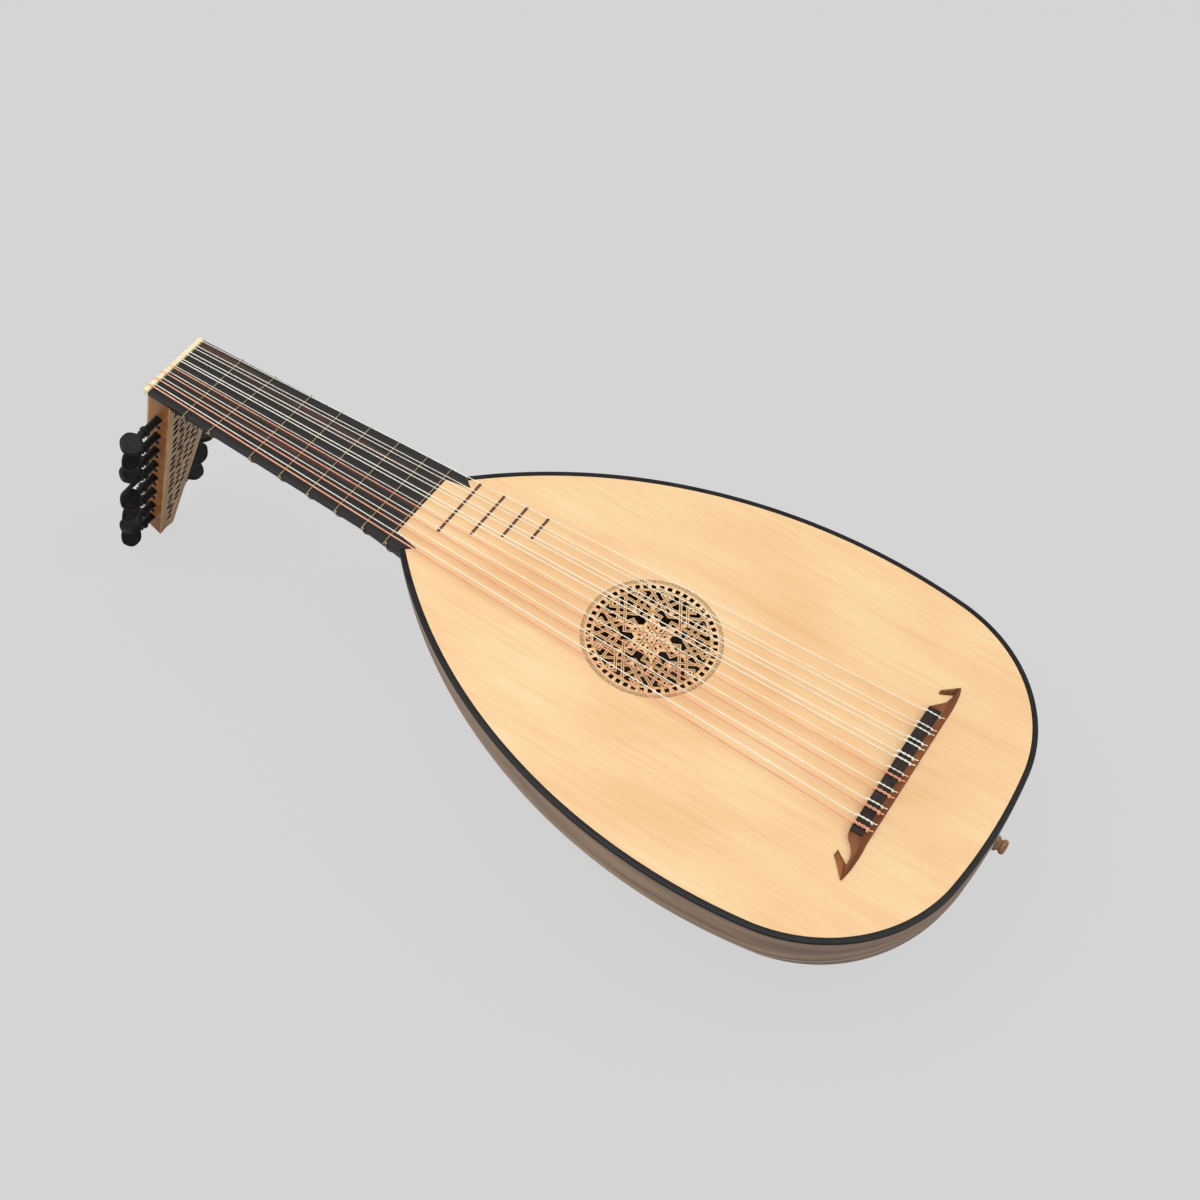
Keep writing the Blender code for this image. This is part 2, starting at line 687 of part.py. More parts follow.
leaves = bmesh.new()
down = PLATE_START + PLATE_BORDER
while down + PLATE_LEAF_STEP < block_start - PLATE_BORDER:
    length = PLATE_LEAF_STEP - PLATE_LEAF_GAP
    near_bar = abs(down + length / 2 - PLATE_BAR_PLACE) < (length + PLATE_BAR_LENGTH) / 2
    if plate_half(down + length) - PLATE_BORDER > PLATE_LEAF_LEAST and not near_bar:
        for side in (-1, 1):
            rows = []
            shape = leaf(down, length, side)
            for depth in (-PLATE_THICKNESS / 2, 3 * PLATE_THICKNESS / 2):
                rows.append([leaves.verts.new(pegbox_point(along, depth, y)) for along, y in shape])
            leaves.faces.new(rows[0])
            leaves.faces.new(list(reversed(rows[1])))
            for k, corner in enumerate(rows[0]):
                nxt = (k + 1) % len(rows[0])
                leaves.faces.new((corner, rows[1][k], rows[1][nxt], rows[0][nxt]))
    down += PLATE_LEAF_STEP
bmesh.ops.recalc_face_normals(leaves, faces=leaves.faces)
leaf_data = bpy.data.meshes.new("leaf_cutter")
leaves.to_mesh(leaf_data)
leaves.free()
leaf_cutter = add_object("leaf_cutter", leaf_data, cutters)
boolean(back_plate, leaf_cutter, "DIFFERENCE")

# Pegs, each a tapered shaft with turned rings and a flat head


def peg(name, down, side, turn, reach):
    centre = pegbox_point(down, PEG_DEPTH, 0.0)
    wide = UP * cos(radians(turn)) + FRONT * sin(radians(turn))
    thin = FRONT * cos(radians(turn)) - UP * sin(radians(turn))
    half = pegbox_half(down)
    sections = [(-half - PEG_OUT, PEG_THIN, PEG_THIN), (half, PEG_THICK, PEG_THICK)]
    sections += [(half + reach + out, wide_half, thin_half) for out, wide_half, thin_half in PEG_HEAD]
    rings = []
    for out, wide_half, thin_half in sections:
        middle = centre + Vector((0.0, side * out, 0.0))
        ring = []
        for k in range(PEG_SIDES):
            angle = 2 * pi * k / PEG_SIDES
            ring.append(middle + wide * wide_half * cos(angle) + thin * thin_half * sin(angle))
        rings.append(ring)
    return loft(name, rings, EBONY, parts, centre)


for number, (down, side, turn, reach) in enumerate(peg_rows):
    row = "bass" if side < 0 else "treble"
    place = number + 1 if side < 0 else number + 1 - len(BASS_PEGS)
    peg(f"peg_{row}_{place}", down, side, turn, reach)

# Strings: over the bridge cap, along the board, over the nut and round their pegs
skew = Matrix.Translation((BRIDGE_X, 0.0, 0.0)) @ Matrix.Rotation(radians(BRIDGE_SKEW), 4, "Z")


def winding(start, down, side, first_y, radius):
    """Turns of one string round its peg, from where it meets the peg's front."""
    half_gap = 2 * radius + WINDING_GAP
    around = peg_radius(first_y, down, side) + radius + WINDING_AIR
    centre = pegbox_point(down, PEG_DEPTH, 0.0)
    offset = start - centre
    far = hypot(offset.dot(FRONT), offset.dot(UP))
    angle = atan2(offset.dot(UP), offset.dot(FRONT)) - acos(around / far)
    steps = int(WINDING_TURNS * WINDING_POINTS)
    points = []
    for k in range(steps + 1):
        y = first_y + side * half_gap * k / WINDING_POINTS
        spin = angle - 2 * pi * k / WINDING_POINTS
        points.append(centre + FRONT * around * cos(spin) + UP * around * sin(spin) + Vector((0.0, y, 0.0)))
    last = (points[-1] - points[-2]).normalized()
    points.append(points[-1] + last * 2 * radius)
    return points


def least_gap(points, radius):
    """Least air between two stretches of one string that are not neighbours."""
    best = 1.0
    for k, point in enumerate(points):
        for other in points[k + WINDING_POINTS - 1:]:
            best = min(best, (point - other).length - 2 * radius)
    return best


def string(number, bridge_share, nut_share, diameter):
    radius = diameter / 2
    bridge_y = bridge_share * BRIDGE_HALF
    nut_y = nut_share * NUT_HALF
    over = BRIDGE_CAP_TOP + radius + STRING_AIR
    front = BRIDGE_CAP_LENGTH
    points = [
        skew @ Vector((front + TAIL_END, bridge_y, BRIDGE_TOP - TAIL_DROP)),
        skew @ Vector((front + TAIL_BEND, bridge_y, BRIDGE_CAP_TOP)),
        skew @ Vector((front, bridge_y, over)),
        skew @ Vector((0.0, bridge_y, over)),
        skew @ Vector((-TAIL_BEND, bridge_y, over - TAIL_BEND)),
        Vector((0.0, nut_y, NUT_TOP + radius + STRING_AIR)),
        Vector((-NUT_LENGTH + NUT_CHAMFER, nut_y, NUT_TOP + radius + STRING_AIR)),
        Vector((-NUT_LENGTH - radius - STRING_AIR, nut_y, NUT_TOP - NUT_CHAMFER)),
    ]
    if number <= len(TREBLE_PEGS):
        side = 1
        down = PEGBOX_LENGTH * TREBLE_PEGS[number - 1]
        share = TREBLE_WINDINGS[number - 1]
    else:
        side = -1
        down = PEGBOX_LENGTH * BASS_PEGS[len(STRINGS) - number]
        share = BASS_WINDINGS[len(STRINGS) - number]
    first_y = side * share * (pegbox_half(down) - CHEEK_THICKNESS)
    turns = winding(points[-1], down, side, first_y, radius)
    gap = least_gap(turns, radius)
    shade = COPPER_GUT if number > 8 and number % 2 else GUT
    tube(f"string_{number:02d}", points + turns, radius, shade)
    return gap


gaps = [string(k + 1, *row) for k, row in enumerate(STRINGS)]
print(f"least gap of any string to itself on its peg: {min(gaps) * 1000:.2f} mm")

# Tied frets, each one loop of gut round the neck with its two ends knotted at the bass side


def fret_points(x, slant):
    out = FRET_RADIUS + FRET_AIR
    bass = neck_half(x) + out
    treble = neck_half(x + slant) + out
    low = neck_depth(x + slant) + out
    spread = KNOT_SPREAD / 2
    points = [(x + spread, -bass - KNOT_TAIL, -KNOT_DROP), (x + spread, -bass, -KNOT_DROP)]
    steps = NECK_FACETS // 2
    swell = 1 / cos(pi / (2 * steps))
    for k in range(1, steps):
        share = k / steps
        half = swell * (bass + (treble - bass) * share)
        place = x + spread + (slant - spread) * share
        points.append((place, -half * cos(pi * share), NECK_TOP - swell * low * sin(pi * share)))
    points.append((x + slant, treble, NECK_TOP))
    points.append((x + slant, treble, out - FRET_CORNER))
    points.append((x + slant, treble - FRET_CORNER, out))
    points.append((x - spread, -bass + FRET_CORNER, out))
    points.append((x - spread, -bass, out - FRET_CORNER))
    points.append((x - spread, -bass - KNOT_TAIL, -KNOT_DROP / 2))
    return points


for k in range(FRETS_TIED):
    x = STRING_LENGTH * (1 - 2 ** (-(k + 1) / 12)) + FRET_NUDGE[k]
    tube(f"fret_{k + 1}", fret_points(x, FRET_SLANT[k]), FRET_RADIUS, GUT)

# Bridge of brown wood with its dark tie cap
bridge_profile = (
    (0.0, SEAT_GAP), (0.0, BRIDGE_TOP), (BRIDGE_CAP_LENGTH, BRIDGE_TOP),
    (BRIDGE_FOOT, SEAT_GAP + BRIDGE_EDGE), (BRIDGE_FOOT, SEAT_GAP),
)
bridge_rings = [[(x, side * BRIDGE_HALF, z) for x, z in bridge_profile] for side in (-1, 1)]
bridge = loft("bridge", bridge_rings, BRIDGE_WOOD)
arms = [list(BRIDGE_ARM_TREBLE), [(x, -y) for x, y in reversed(BRIDGE_ARM_BASS)]]
bridge_arms = prisms("bridge_arms", arms, SEAT_GAP, BRIDGE_ARM_TOP, cutters)
boolean(bridge, bridge_arms, "UNION")
cap_profile = (
    (0.0, BRIDGE_TOP + SEAT_GAP), (0.0, BRIDGE_CAP_TOP), (BRIDGE_CAP_LENGTH, BRIDGE_CAP_TOP),
    (BRIDGE_CAP_LENGTH, BRIDGE_TOP + SEAT_GAP),
)
cap_rings = [[(x, side * BRIDGE_HALF, z) for x, z in cap_profile] for side in (-1, 1)]
cap = loft("bridge_tie_cap", cap_rings, EBONY)
for thing in (bridge, bridge_arms, cap):
    thing.matrix_local = skew

# Strap button, a turned profile
button_mesh = bmesh.new()
profile_points = [button_mesh.verts.new((radius, 0.0, out)) for out, radius in BUTTON_PROFILE]
for start, end in zip(profile_points, profile_points[1:]):
    button_mesh.edges.new((start, end))
button_data = bpy.data.meshes.new("strap_button")
button_mesh.to_mesh(button_data)
button_mesh.free()
button = add_object("strap_button", button_data, parts, BRIDGE_WOOD)
screw = button.modifiers.new("turning", "SCREW")
screw.axis = "Z"
screw.steps = BUTTON_SIDES
screw.render_steps = BUTTON_SIDES
screw.use_merge_vertices = True
screw.merge_threshold = 0.00005
button.location = (TAIL_X + EDGE_WIDTH + SEAT_GAP, 0.0, -BUTTON_DROP)
button.rotation_euler = (0.0, pi / 2, 0.0)

# Lay the lute on its back: the pegbox tip and the bowl's keel touch the ground
tip = pegbox_point(PEGBOX_LENGTH, 0.0, 0.0)
keel_turn = pi * (RIB_COUNT // 2) / RIB_COUNT
keel = [bowl_point(x, half, keel_turn) for x, half, _ in rib_stations()]
slope = min((point.z - tip.z) / (point.x - tip.x) for point in keel)
tilt = atan(slope)
lean = Matrix.Rotation(tilt, 4, "Y")
head = lean @ pegbox_point(PEGBOX_LENGTH - CHEEK_END_SLANT, CHEEK_TIP_DEPTH, 0.0)
tail = lean @ Vector((button.location.x + BUTTON_PROFILE[0][0], 0.0, -BUTTON_DROP))
rest.rotation_euler = (0.0, tilt, 0.0)
rest.location = (-(head.x + tail.x) / 2, 0.0, -(lean @ tip).z)
print(f"resting angle {degrees(tilt):.3f} degrees, origin moved by {rest.location[:]}")
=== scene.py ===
"""Renaissance lute lying on its back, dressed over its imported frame."""
import random
from math import acos, atan2, ceil, cos, hypot, pi, radians, sin, sqrt, tan

import bmesh
import bpy
from mathutils import Matrix, Vector


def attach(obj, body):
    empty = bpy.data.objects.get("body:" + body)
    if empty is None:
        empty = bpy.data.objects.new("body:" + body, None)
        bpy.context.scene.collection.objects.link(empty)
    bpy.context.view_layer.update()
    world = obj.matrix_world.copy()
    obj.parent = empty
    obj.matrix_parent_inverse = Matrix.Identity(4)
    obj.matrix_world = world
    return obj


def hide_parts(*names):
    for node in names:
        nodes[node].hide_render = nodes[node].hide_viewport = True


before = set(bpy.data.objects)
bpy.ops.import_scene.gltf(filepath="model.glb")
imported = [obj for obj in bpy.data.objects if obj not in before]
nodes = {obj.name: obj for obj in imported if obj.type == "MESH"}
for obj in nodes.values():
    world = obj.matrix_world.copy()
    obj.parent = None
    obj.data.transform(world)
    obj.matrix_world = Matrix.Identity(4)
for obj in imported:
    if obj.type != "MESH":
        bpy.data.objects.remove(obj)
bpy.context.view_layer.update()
scene = bpy.context.scene
chance = random.Random(8)

# The lute's own frame, X from nut to tail and Z up from the soundboard, as it lies
REST_ANGLE = radians(7.780)
REST_SHIFT = Vector((-0.305234, 0.0, 0.207424))
LUTE = Matrix.Translation(REST_SHIFT) @ Matrix.Rotation(REST_ANGLE, 4, "Y")

# Camera of the photograph, in the lute's frame
CAMERA_AZIMUTH = radians(26.164)
CAMERA_ELEVATION = radians(53.246)
CAMERA_ROLL = radians(8.054)
CAMERA_DISTANCE = 1.50627
CAMERA_TARGET = Vector((0.36812, 0.0050, 0.0))
CAMERA_LENS = 65.292
SENSOR = 36.0

# Main sizes, the same as the solids'
STRING_LENGTH = 0.600
NUT_HALF = 0.0324
JOINT_X = 0.230486
JOINT_HALF = 0.0411486
TAIL_X = 0.677455
NECK_TAPER = (JOINT_HALF - 0.0007 - NUT_HALF) / JOINT_X
BODY_RADII = (0.4440, 0.1141, 0.4108, 0.3851)
BODY_SWEEPS = (6.67, 75.04, 31.53, 22.27)
BODY_STEPS = (10, 44, 30, 22)
EDGE_WIDTH = 0.0042
EDGE_TOP = 0.0012
EDGE_SIDE = 0.0010
BOARD_THICKNESS = 0.0024
SEAT_GAP = 0.0003
RIB_COUNT = 11
RIB_THICKNESS = 0.0018
BOWL_RATIO = 0.83
RIB_TAIL_HALF = 0.0030
FINGERBOARD_THICKNESS = 0.0030
FINGERBOARD_END = JOINT_X - 0.0099
BEARD_LENGTH = 0.0190
NECK_DEPTH_AT_NUT = 0.0185
BLOCK_LENGTH = 0.0315
NUT_LENGTH = 0.0049
NUT_TOP = 0.0018
PEGBOX_X = 0.0214
PEGBOX_TILT = radians(13.37)
PEGBOX_LENGTH = 0.2193
PEGBOX_TIP_HALF = 0.0083
CHEEK_THICKNESS = 0.0042
CHEEK_DEPTH = 0.0207
CHEEK_TIP_DEPTH = 0.0170
CHEEK_END_SLANT = 0.0050
PLATE_START = 0.0148
PLATE_THICKNESS = 0.0040
PEG_DEPTH = 0.0097
PEG_THIN = 0.0024
PEG_THICK = 0.0031
BASS_PEGS = (0.1423, 0.2595, 0.3648, 0.4724, 0.5787, 0.6863, 0.8003, 0.9011)
TREBLE_PEGS = (0.2011, 0.3119, 0.4186, 0.5253, 0.6325, 0.7433, 0.8504)
BASS_TURNS = (73, 35, 88, -17, 60, 25, 100, 55)
TREBLE_TURNS = (75, 75, 60, 60, 120, 45, 90)
BASS_REACH = (0.0020, 0.0015, 0.0010, 0.0005, 0.0, -0.0010, -0.0020, -0.0030)
TREBLE_REACH = (-0.0065, 0.0, 0.0005, -0.0005, 0.0, -0.0010, -0.0015)
BRIDGE_X = STRING_LENGTH - 0.0007
BRIDGE_SKEW = radians(0.9)
BRIDGE_HALF = 0.0583
BRIDGE_TOP = 0.0049
BRIDGE_CAP_TOP = 0.0065
BRIDGE_CAP_LENGTH = 0.0092
BRIDGE_FOOT = 0.0140
ROSE_X = JOINT_X + 0.1839
ROSE_Y = -0.0010

# Pieces made in millimetres are brought to metres by this
MM = 0.001


def add_camera():
    back = Vector((
        sin(CAMERA_AZIMUTH) * cos(CAMERA_ELEVATION),
        -cos(CAMERA_AZIMUTH) * cos(CAMERA_ELEVATION),
        sin(CAMERA_ELEVATION),
    ))
    right = Vector((cos(CAMERA_AZIMUTH), sin(CAMERA_AZIMUTH), 0.0))
    up = back.cross(right)
    turned_right = right * cos(CAMERA_ROLL) + up * sin(CAMERA_ROLL)
    turned_up = up * cos(CAMERA_ROLL) - right * sin(CAMERA_ROLL)
    place = Matrix((turned_right, turned_up, back)).transposed().to_4x4()
    place.translation = CAMERA_TARGET + back * CAMERA_DISTANCE
    data = bpy.data.cameras.new("camera")
    data.lens = CAMERA_LENS
    data.sensor_width = SENSOR
    data.clip_end = 20.0
    camera = bpy.data.objects.new("camera", data)
    camera.matrix_world = LUTE @ place
    scene.collection.objects.link(camera)
    scene.camera = camera


# Materials


# How far across the grain one radian round the bowl counts
RIB_GRAIN = 0.11


class Shade:
    """One material and short ways to add nodes to it."""

    def __init__(self, name, colour, roughness, lean=0.0):
        self.material = bpy.data.materials.new(name)
        self.material.use_nodes = True
        self.tree = self.material.node_tree
        self.shader = self.tree.nodes["Principled BSDF"]
        self.shader.inputs["Base Color"].default_value = (*colour, 1.0)
        self.shader.inputs["Roughness"].default_value = roughness
        place = self.tree.nodes.new("ShaderNodeTexCoord").outputs["Object"]
        turn = (0.0, -REST_ANGLE - lean, 0.0)
        self.coords = self.node("ShaderNodeMapping", Vector=place, Rotation=turn).outputs["Vector"]

    def node(self, kind, **links):
        made = self.tree.nodes.new(kind)
        for socket, value in links.items():
            slot = made.inputs[socket]
            if isinstance(value, bpy.types.NodeSocket):
                self.tree.links.new(value, slot)
            else:
                slot.default_value = value
        return made

    def noise(self, scale, detail=3.0):
        """Noise whose features are this many to the metre along each of the lute's axes."""
        place = self.node("ShaderNodeMapping", Vector=self.coords, Scale=scale).outputs["Vector"]
        return self.node("ShaderNodeTexNoise", Vector=place, Scale=1.0, Detail=detail).outputs["Fac"]

    def ramp(self, value, *stops):
        made = self.node("ShaderNodeValToRGB", Fac=value)
        elements = made.color_ramp.elements
        while len(elements) < len(stops):
            elements.new(0.5)
        for element, (place, colour) in zip(elements, stops):
            element.position = place
            element.color = (*colour, 1.0)
        return made.outputs["Color"]

    def mix(self, share, first, second, blend="MIX"):
        made = self.tree.nodes.new("ShaderNodeMix")
        made.data_type = "RGBA"
        made.blend_type = blend
        for slot, value in ((made.inputs[0], share), (made.inputs[6], first), (made.inputs[7], second)):
            if isinstance(value, bpy.types.NodeSocket):
                self.tree.links.new(value, slot)
            elif isinstance(value, tuple):
                slot.default_value = (*value, 1.0)
            else:
                slot.default_value = value
        return made.outputs[2]

    def spread(self, value, low, high, start=0.0, end=1.0):
        made = self.node("ShaderNodeMapRange", Value=value)
        for key, number in (("From Min", low), ("From Max", high), ("To Min", start), ("To Max", end)):
            made.inputs[key].default_value = number
        return made.outputs["Result"]

    def sum(self, operation, first, second):
        made = self.tree.nodes.new("ShaderNodeMath")
        made.operation = operation
        for slot, value in zip(made.inputs, (first, second)):
            if isinstance(value, bpy.types.NodeSocket):
                self.tree.links.new(value, slot)
            else:
                slot.default_value = value
        return made.outputs["Value"]

    def follow_ribs(self):
        """Places by length and by the turn round the bowl, so that the grain runs with each rib."""
        split = self.node("ShaderNodeSeparateXYZ", Vector=self.coords).outputs
        board = (Matrix.Rotation(-REST_ANGLE, 3, "Y") @ REST_SHIFT).z
        depth = self.sum("SUBTRACT", split["Z"], board)
        turn = self.sum("ARCTAN2", depth, self.sum("MULTIPLY", split["Y"], BOWL_RATIO))
        across = self.sum("MULTIPLY", turn, RIB_GRAIN)
        self.coords = self.node("ShaderNodeCombineXYZ", X=split["X"], Y=across).outputs["Vector"]

    def colour(self, value):
        self.tree.links.new(value, self.shader.inputs["Base Color"])

    def rough(self, value):
        self.tree.links.new(value, self.shader.inputs["Roughness"])

    def bump(self, height, strength, distance):
        made = self.node("ShaderNodeBump", Height=height, Strength=strength, Distance=distance)
        self.tree.links.new(made.outputs["Normal"], self.shader.inputs["Normal"])


def spruce():
    """Fine straight grain along the board, broad warm patches, satin varnish."""
    shade = Shade("spruce", (0.90, 0.62, 0.33), 0.42)
    patch = shade.noise((9.0, 26.0, 9.0), 4.0)
    tone = shade.ramp(
        patch, (0.30, (0.815, 0.505, 0.243)), (0.50, (0.865, 0.585, 0.307)), (0.68, (0.885, 0.640, 0.356)),
    )
    streak = shade.noise((11.0, 230.0, 11.0), 4.0)
    tone = shade.mix(shade.spread(streak, 0.49, 0.68, 0.0, 0.24), tone, (0.76, 0.41, 0.175))
    line = shade.noise((14.0, 900.0, 14.0), 3.0)
    tone = shade.mix(shade.spread(line, 0.45, 0.75, 0.0, 0.24), tone, (0.70, 0.39, 0.18))
    tone = shade.mix(shade.spread(line, 0.50, 0.25, 0.0, 0.14), tone, (0.96, 0.77, 0.49))
    shade.colour(tone)
    shade.rough(shade.spread(streak, 0.3, 0.7, 0.38, 0.48))
    shade.bump(line, 0.12, 0.0004)
    return shade.material


def streaky(name, dark, light, roughness, scale, fine, lean=0.0, pores=0.25, gloss=0.5, ribs=False):
    """Wood with broad streaks between two colours and fine darker pores along its grain."""
    shade = Shade(name, light, roughness, lean)
    if ribs:
        shade.follow_ribs()
    shade.shader.inputs["Specular IOR Level"].default_value = gloss
    broad = shade.noise(scale, 4.0)
    tone = shade.ramp(broad, (0.32, dark), (0.68, light))
    thin = shade.noise(fine, 3.0)
    pore = tuple(channel * 0.45 for channel in dark)
    tone = shade.mix(shade.spread(thin, 0.52, 0.78, 0.0, pores), tone, pore)
    shade.colour(tone)
    shade.rough(shade.spread(broad, 0.3, 0.7, roughness - 0.05, roughness + 0.08))
    shade.bump(thin, 0.15, 0.0003)
    return shade.material


def fingerboard_wood():
    """Near-black board with red-brown stripes along it, the widest by the treble edge."""
    shade = Shade("fingerboard", (0.02, 0.017, 0.016), 0.42)
    across = shade.node("ShaderNodeSeparateXYZ", Vector=shade.coords).outputs["Y"]
    wander = shade.spread(shade.noise((7.0, 60.0, 7.0), 2.0), 0.0, 1.0, -0.005, 0.005)
    black, brown = (0.014, 0.012, 0.012), (0.100, 0.040, 0.024)
    stripe = shade.ramp(
        shade.spread(shade.sum("ADD", across, wander), -0.035, 0.035), (0.26, black), (0.31, brown), (0.35, black),
        (0.43, black), (0.46, brown), (0.49, black), (0.72, black), (0.80, brown), (0.91, brown), (0.96, black),
    )
    fade = shade.noise((9.0, 110.0, 9.0), 3.0)
    tone = shade.mix(shade.spread(fade, 0.40, 0.60), black, stripe)
    thin = shade.noise((25.0, 1300.0, 25.0), 3.0)
    tone = shade.mix(shade.spread(thin, 0.5, 0.8, 0.0, 0.5), tone, (0.008, 0.007, 0.007))
    shade.colour(tone)
    shade.bump(thin, 0.15, 0.0003)
    return shade.material


def cord_look(name, colour, shadow, roughness):
    """Gut: slightly uneven in colour, with a faint bump over its surface."""
    shade = Shade(name, colour, roughness)
    spot = shade.noise((90.0, 900.0, 900.0), 3.0)
    shade.colour(shade.ramp(spot, (0.30, shadow), (0.62, colour)))
    shade.bump(shade.noise((2200.0, 1500.0, 1500.0), 1.0), 0.1, 0.0001)
    return shade.material


SPRUCE = spruce()
BOARD = fingerboard_wood()
RIBS = streaky(
    "ribs", (0.190, 0.118, 0.072), (0.440, 0.295, 0.185), 0.38, (9.0, 150.0, 1.0), (30.0, 900.0, 1.0), gloss=0.35,
    ribs=True,
)
# Pale strip along the lower edge of each rib
RIB_EDGE_LINE = streaky("rib_edge_line", (0.56, 0.46, 0.35), (0.70, 0.60, 0.48), 0.36, (12.0, 300.0, 300.0), (30.0, 900.0, 900.0))
EBONY = streaky(
    "ebony", (0.0055, 0.0050, 0.0052), (0.015, 0.0135, 0.0135), 0.38, (30.0, 300.0, 300.0), (60.0, 1500.0, 1500.0),
    gloss=0.25,
)
CAP_WOOD = streaky(
    "cap", (0.0060, 0.0050, 0.0048), (0.034, 0.019, 0.014), 0.38, (260.0, 45.0, 260.0), (1500.0, 90.0, 1500.0), gloss=0.3,
)
NECK_WOOD = streaky(
    "neck_veneer", (0.009, 0.008, 0.008), (0.022, 0.018, 0.017), 0.42, (7.0, 260.0, 260.0), (20.0, 1100.0, 1100.0),
    gloss=0.3,
)
PEG_LOOK = streaky(
    "pegs", (0.004, 0.004, 0.004), (0.014, 0.012, 0.011), 0.36, (400.0, 90.0, 400.0), (1500.0, 160.0, 1500.0), gloss=0.2,
)
CHEEK = streaky(
    "cheek", (0.190, 0.062, 0.015), (0.390, 0.155, 0.042), 0.36, (70.0, 70.0, 9.0), (900.0, 900.0, 30.0), PEGBOX_TILT,
)
STRINGING = streaky(
    "stringing", (0.56, 0.29, 0.085), (0.74, 0.43, 0.15), 0.36, (200.0, 200.0, 12.0), (900.0, 900.0, 30.0), PEGBOX_TILT,
)
PLATE = streaky(
    "plate", (0.400, 0.245, 0.140), (0.680, 0.460, 0.275), 0.42, (70.0, 70.0, 9.0), (800.0, 800.0, 40.0), PEGBOX_TILT,
)
# Pale gold for the bevels round the back plate's leaves: a painted highlight on their lit edges
PLATE_EDGE_HIGHLIGHT = streaky(
    "plate_edge_highlight", (0.560, 0.380, 0.200), (0.760, 0.560, 0.330), 0.42, (90.0, 90.0, 90.0), (800.0, 800.0, 800.0),
)
# Near-black for the walls of the back plate's leaf openings: painted shade
PLATE_CUT_SHADE = streaky(
    "plate_cut_shade", (0.020, 0.011, 0.007), (0.050, 0.028, 0.016), 0.60, (70.0, 70.0, 70.0), (800.0, 800.0, 800.0), gloss=0.2,
)
BRIDGE_WOOD = streaky(
    "bridge", (0.120, 0.036, 0.011), (0.310, 0.106, 0.032), 0.36, (150.0, 16.0, 150.0), (900.0, 60.0, 900.0), gloss=0.3,
)
BUTTON_WOOD = streaky(
    "button", (0.150, 0.068, 0.032), (0.340, 0.180, 0.092), 0.32, (40.0, 240.0, 240.0), (90.0, 1300.0, 1300.0),
)
BONE = streaky(
    "bone", (0.820, 0.700, 0.420), (0.880, 0.780, 0.510), 0.35, (60.0, 12.0, 60.0), (260.0, 50.0, 260.0), pores=0.05,
)
FRET_LOOK = cord_look("fret_gut", (0.43, 0.33, 0.19), (0.27, 0.19, 0.10), 0.42)
GUT = cord_look("gut", (0.96, 0.94, 0.84), (0.88, 0.84, 0.68), 0.38)
COPPER = cord_look("copper", (0.87, 0.42, 0.26), (0.76, 0.31, 0.17), 0.40)
TICK = streaky("tick", (0.110, 0.045, 0.017), (0.180, 0.080, 0.033), 0.6, (300.0, 300.0, 300.0), (900.0, 900.0, 900.0))
# Near-black brown for the walls of the rose's openings and the board's ring of squares: painted shade in the cuts
CUT_WALL_SHADE = streaky(
    "rose_cut_shade", (0.060, 0.022, 0.010), (0.120, 0.050, 0.022), 0.60, (300.0, 300.0, 300.0), (900.0, 900.0, 900.0), gloss=0.2,
)
# Brown strip down each strap's groove: painted shade in the carved grooves; the same brown draws the small ring at the
# hub's middle
GROOVE_SHADE = streaky(
    "rose_groove_shade", (0.180, 0.070, 0.026), (0.280, 0.120, 0.048), 0.55, (60.0, 200.0, 60.0), (90.0, 900.0, 90.0), gloss=0.3,
)
INLAY = streaky("body_frets", (0.075, 0.027, 0.017), (0.130, 0.048, 0.029), 0.42, (160.0, 30.0, 160.0), (900.0, 90.0, 900.0))

# Mesh helpers


def finished(name, mesh, look, angle=32.0, more=()):
    """Object from a bmesh, smooth except across edges sharper than the angle."""
    bmesh.ops.recalc_face_normals(mesh, faces=mesh.faces)
    data = bpy.data.meshes.new(name)
    mesh.to_mesh(data)
    mesh.free()
    return shown(name, data, look, angle, more)


def shown(name, data, look, angle=32.0, more=()):
    data.shade_smooth()
    data.set_sharp_from_angle(angle=radians(angle))
    for each in (look, *more):
        data.materials.append(each)
    thing = bpy.data.objects.new(name, data)
    scene.collection.objects.link(thing)
    return thing


def dress(thing, slot, *replaced, body="lute_body"):
    """Lays a piece with the lute, rides it on its body and stands it in for its nodes."""
    thing.data.transform(LUTE)
    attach(thing, body)
    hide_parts(*replaced)
    return thing


def paint_cut_shade(thing, face, centre=None, reach=0.0):
    """Gives the second material, painted shade, to the walls across a plate's face, and a third, a painted highlight,
    to their bevels.
    """
    for polygon in thing.data.polygons:
        level = abs(polygon.normal.dot(face))
        if centre is None or (polygon.center - centre).length < reach:
            if level < 0.5:
                polygon.material_index = 1
            elif level < 0.97 and len(thing.data.materials) > 2:
                polygon.material_index = 2


def rounded(thing, width, segments=3):
    step = thing.modifiers.new("rounding", "BEVEL")
    step.width = width
    step.segments = segments
    step.limit_method = "ANGLE"
    step.angle_limit = radians(30)
    return thing


def add_loft(mesh, rings, caps=True):
    rows = [[mesh.verts.new(point) for point in ring] for ring in rings]
    for low, high in zip(rows, rows[1:]):
        for k, corner in enumerate(low):
            nxt = (k + 1) % len(low)
            mesh.faces.new((corner, low[nxt], high[nxt], high[k]))
    if caps:
        mesh.faces.new(list(reversed(rows[0])))
        mesh.faces.new(rows[-1])
    return rows


def add_tube(mesh, path, radius, sides=10):
    """Round cord along the path, its ring turned as little as it can from point to point."""
    points = [Vector(point) for point in path]
    ahead = (points[1] - points[0]).normalized()
    side = ahead.orthogonal().normalized()
    rings = []
    for k, point in enumerate(points):
        before = points[max(k - 1, 0)]
        after = points[min(k + 1, len(points) - 1)]
        heading = (after - before).normalized()
        side = (side - heading * side.dot(heading)).normalized()
        other = heading.cross(side)
        ring = []
        for step in range(sides):
            angle = 2 * pi * step / sides
            ring.append(point + (side * cos(angle) + other * sin(angle)) * radius)
        rings.append(ring)
    add_loft(mesh, rings)


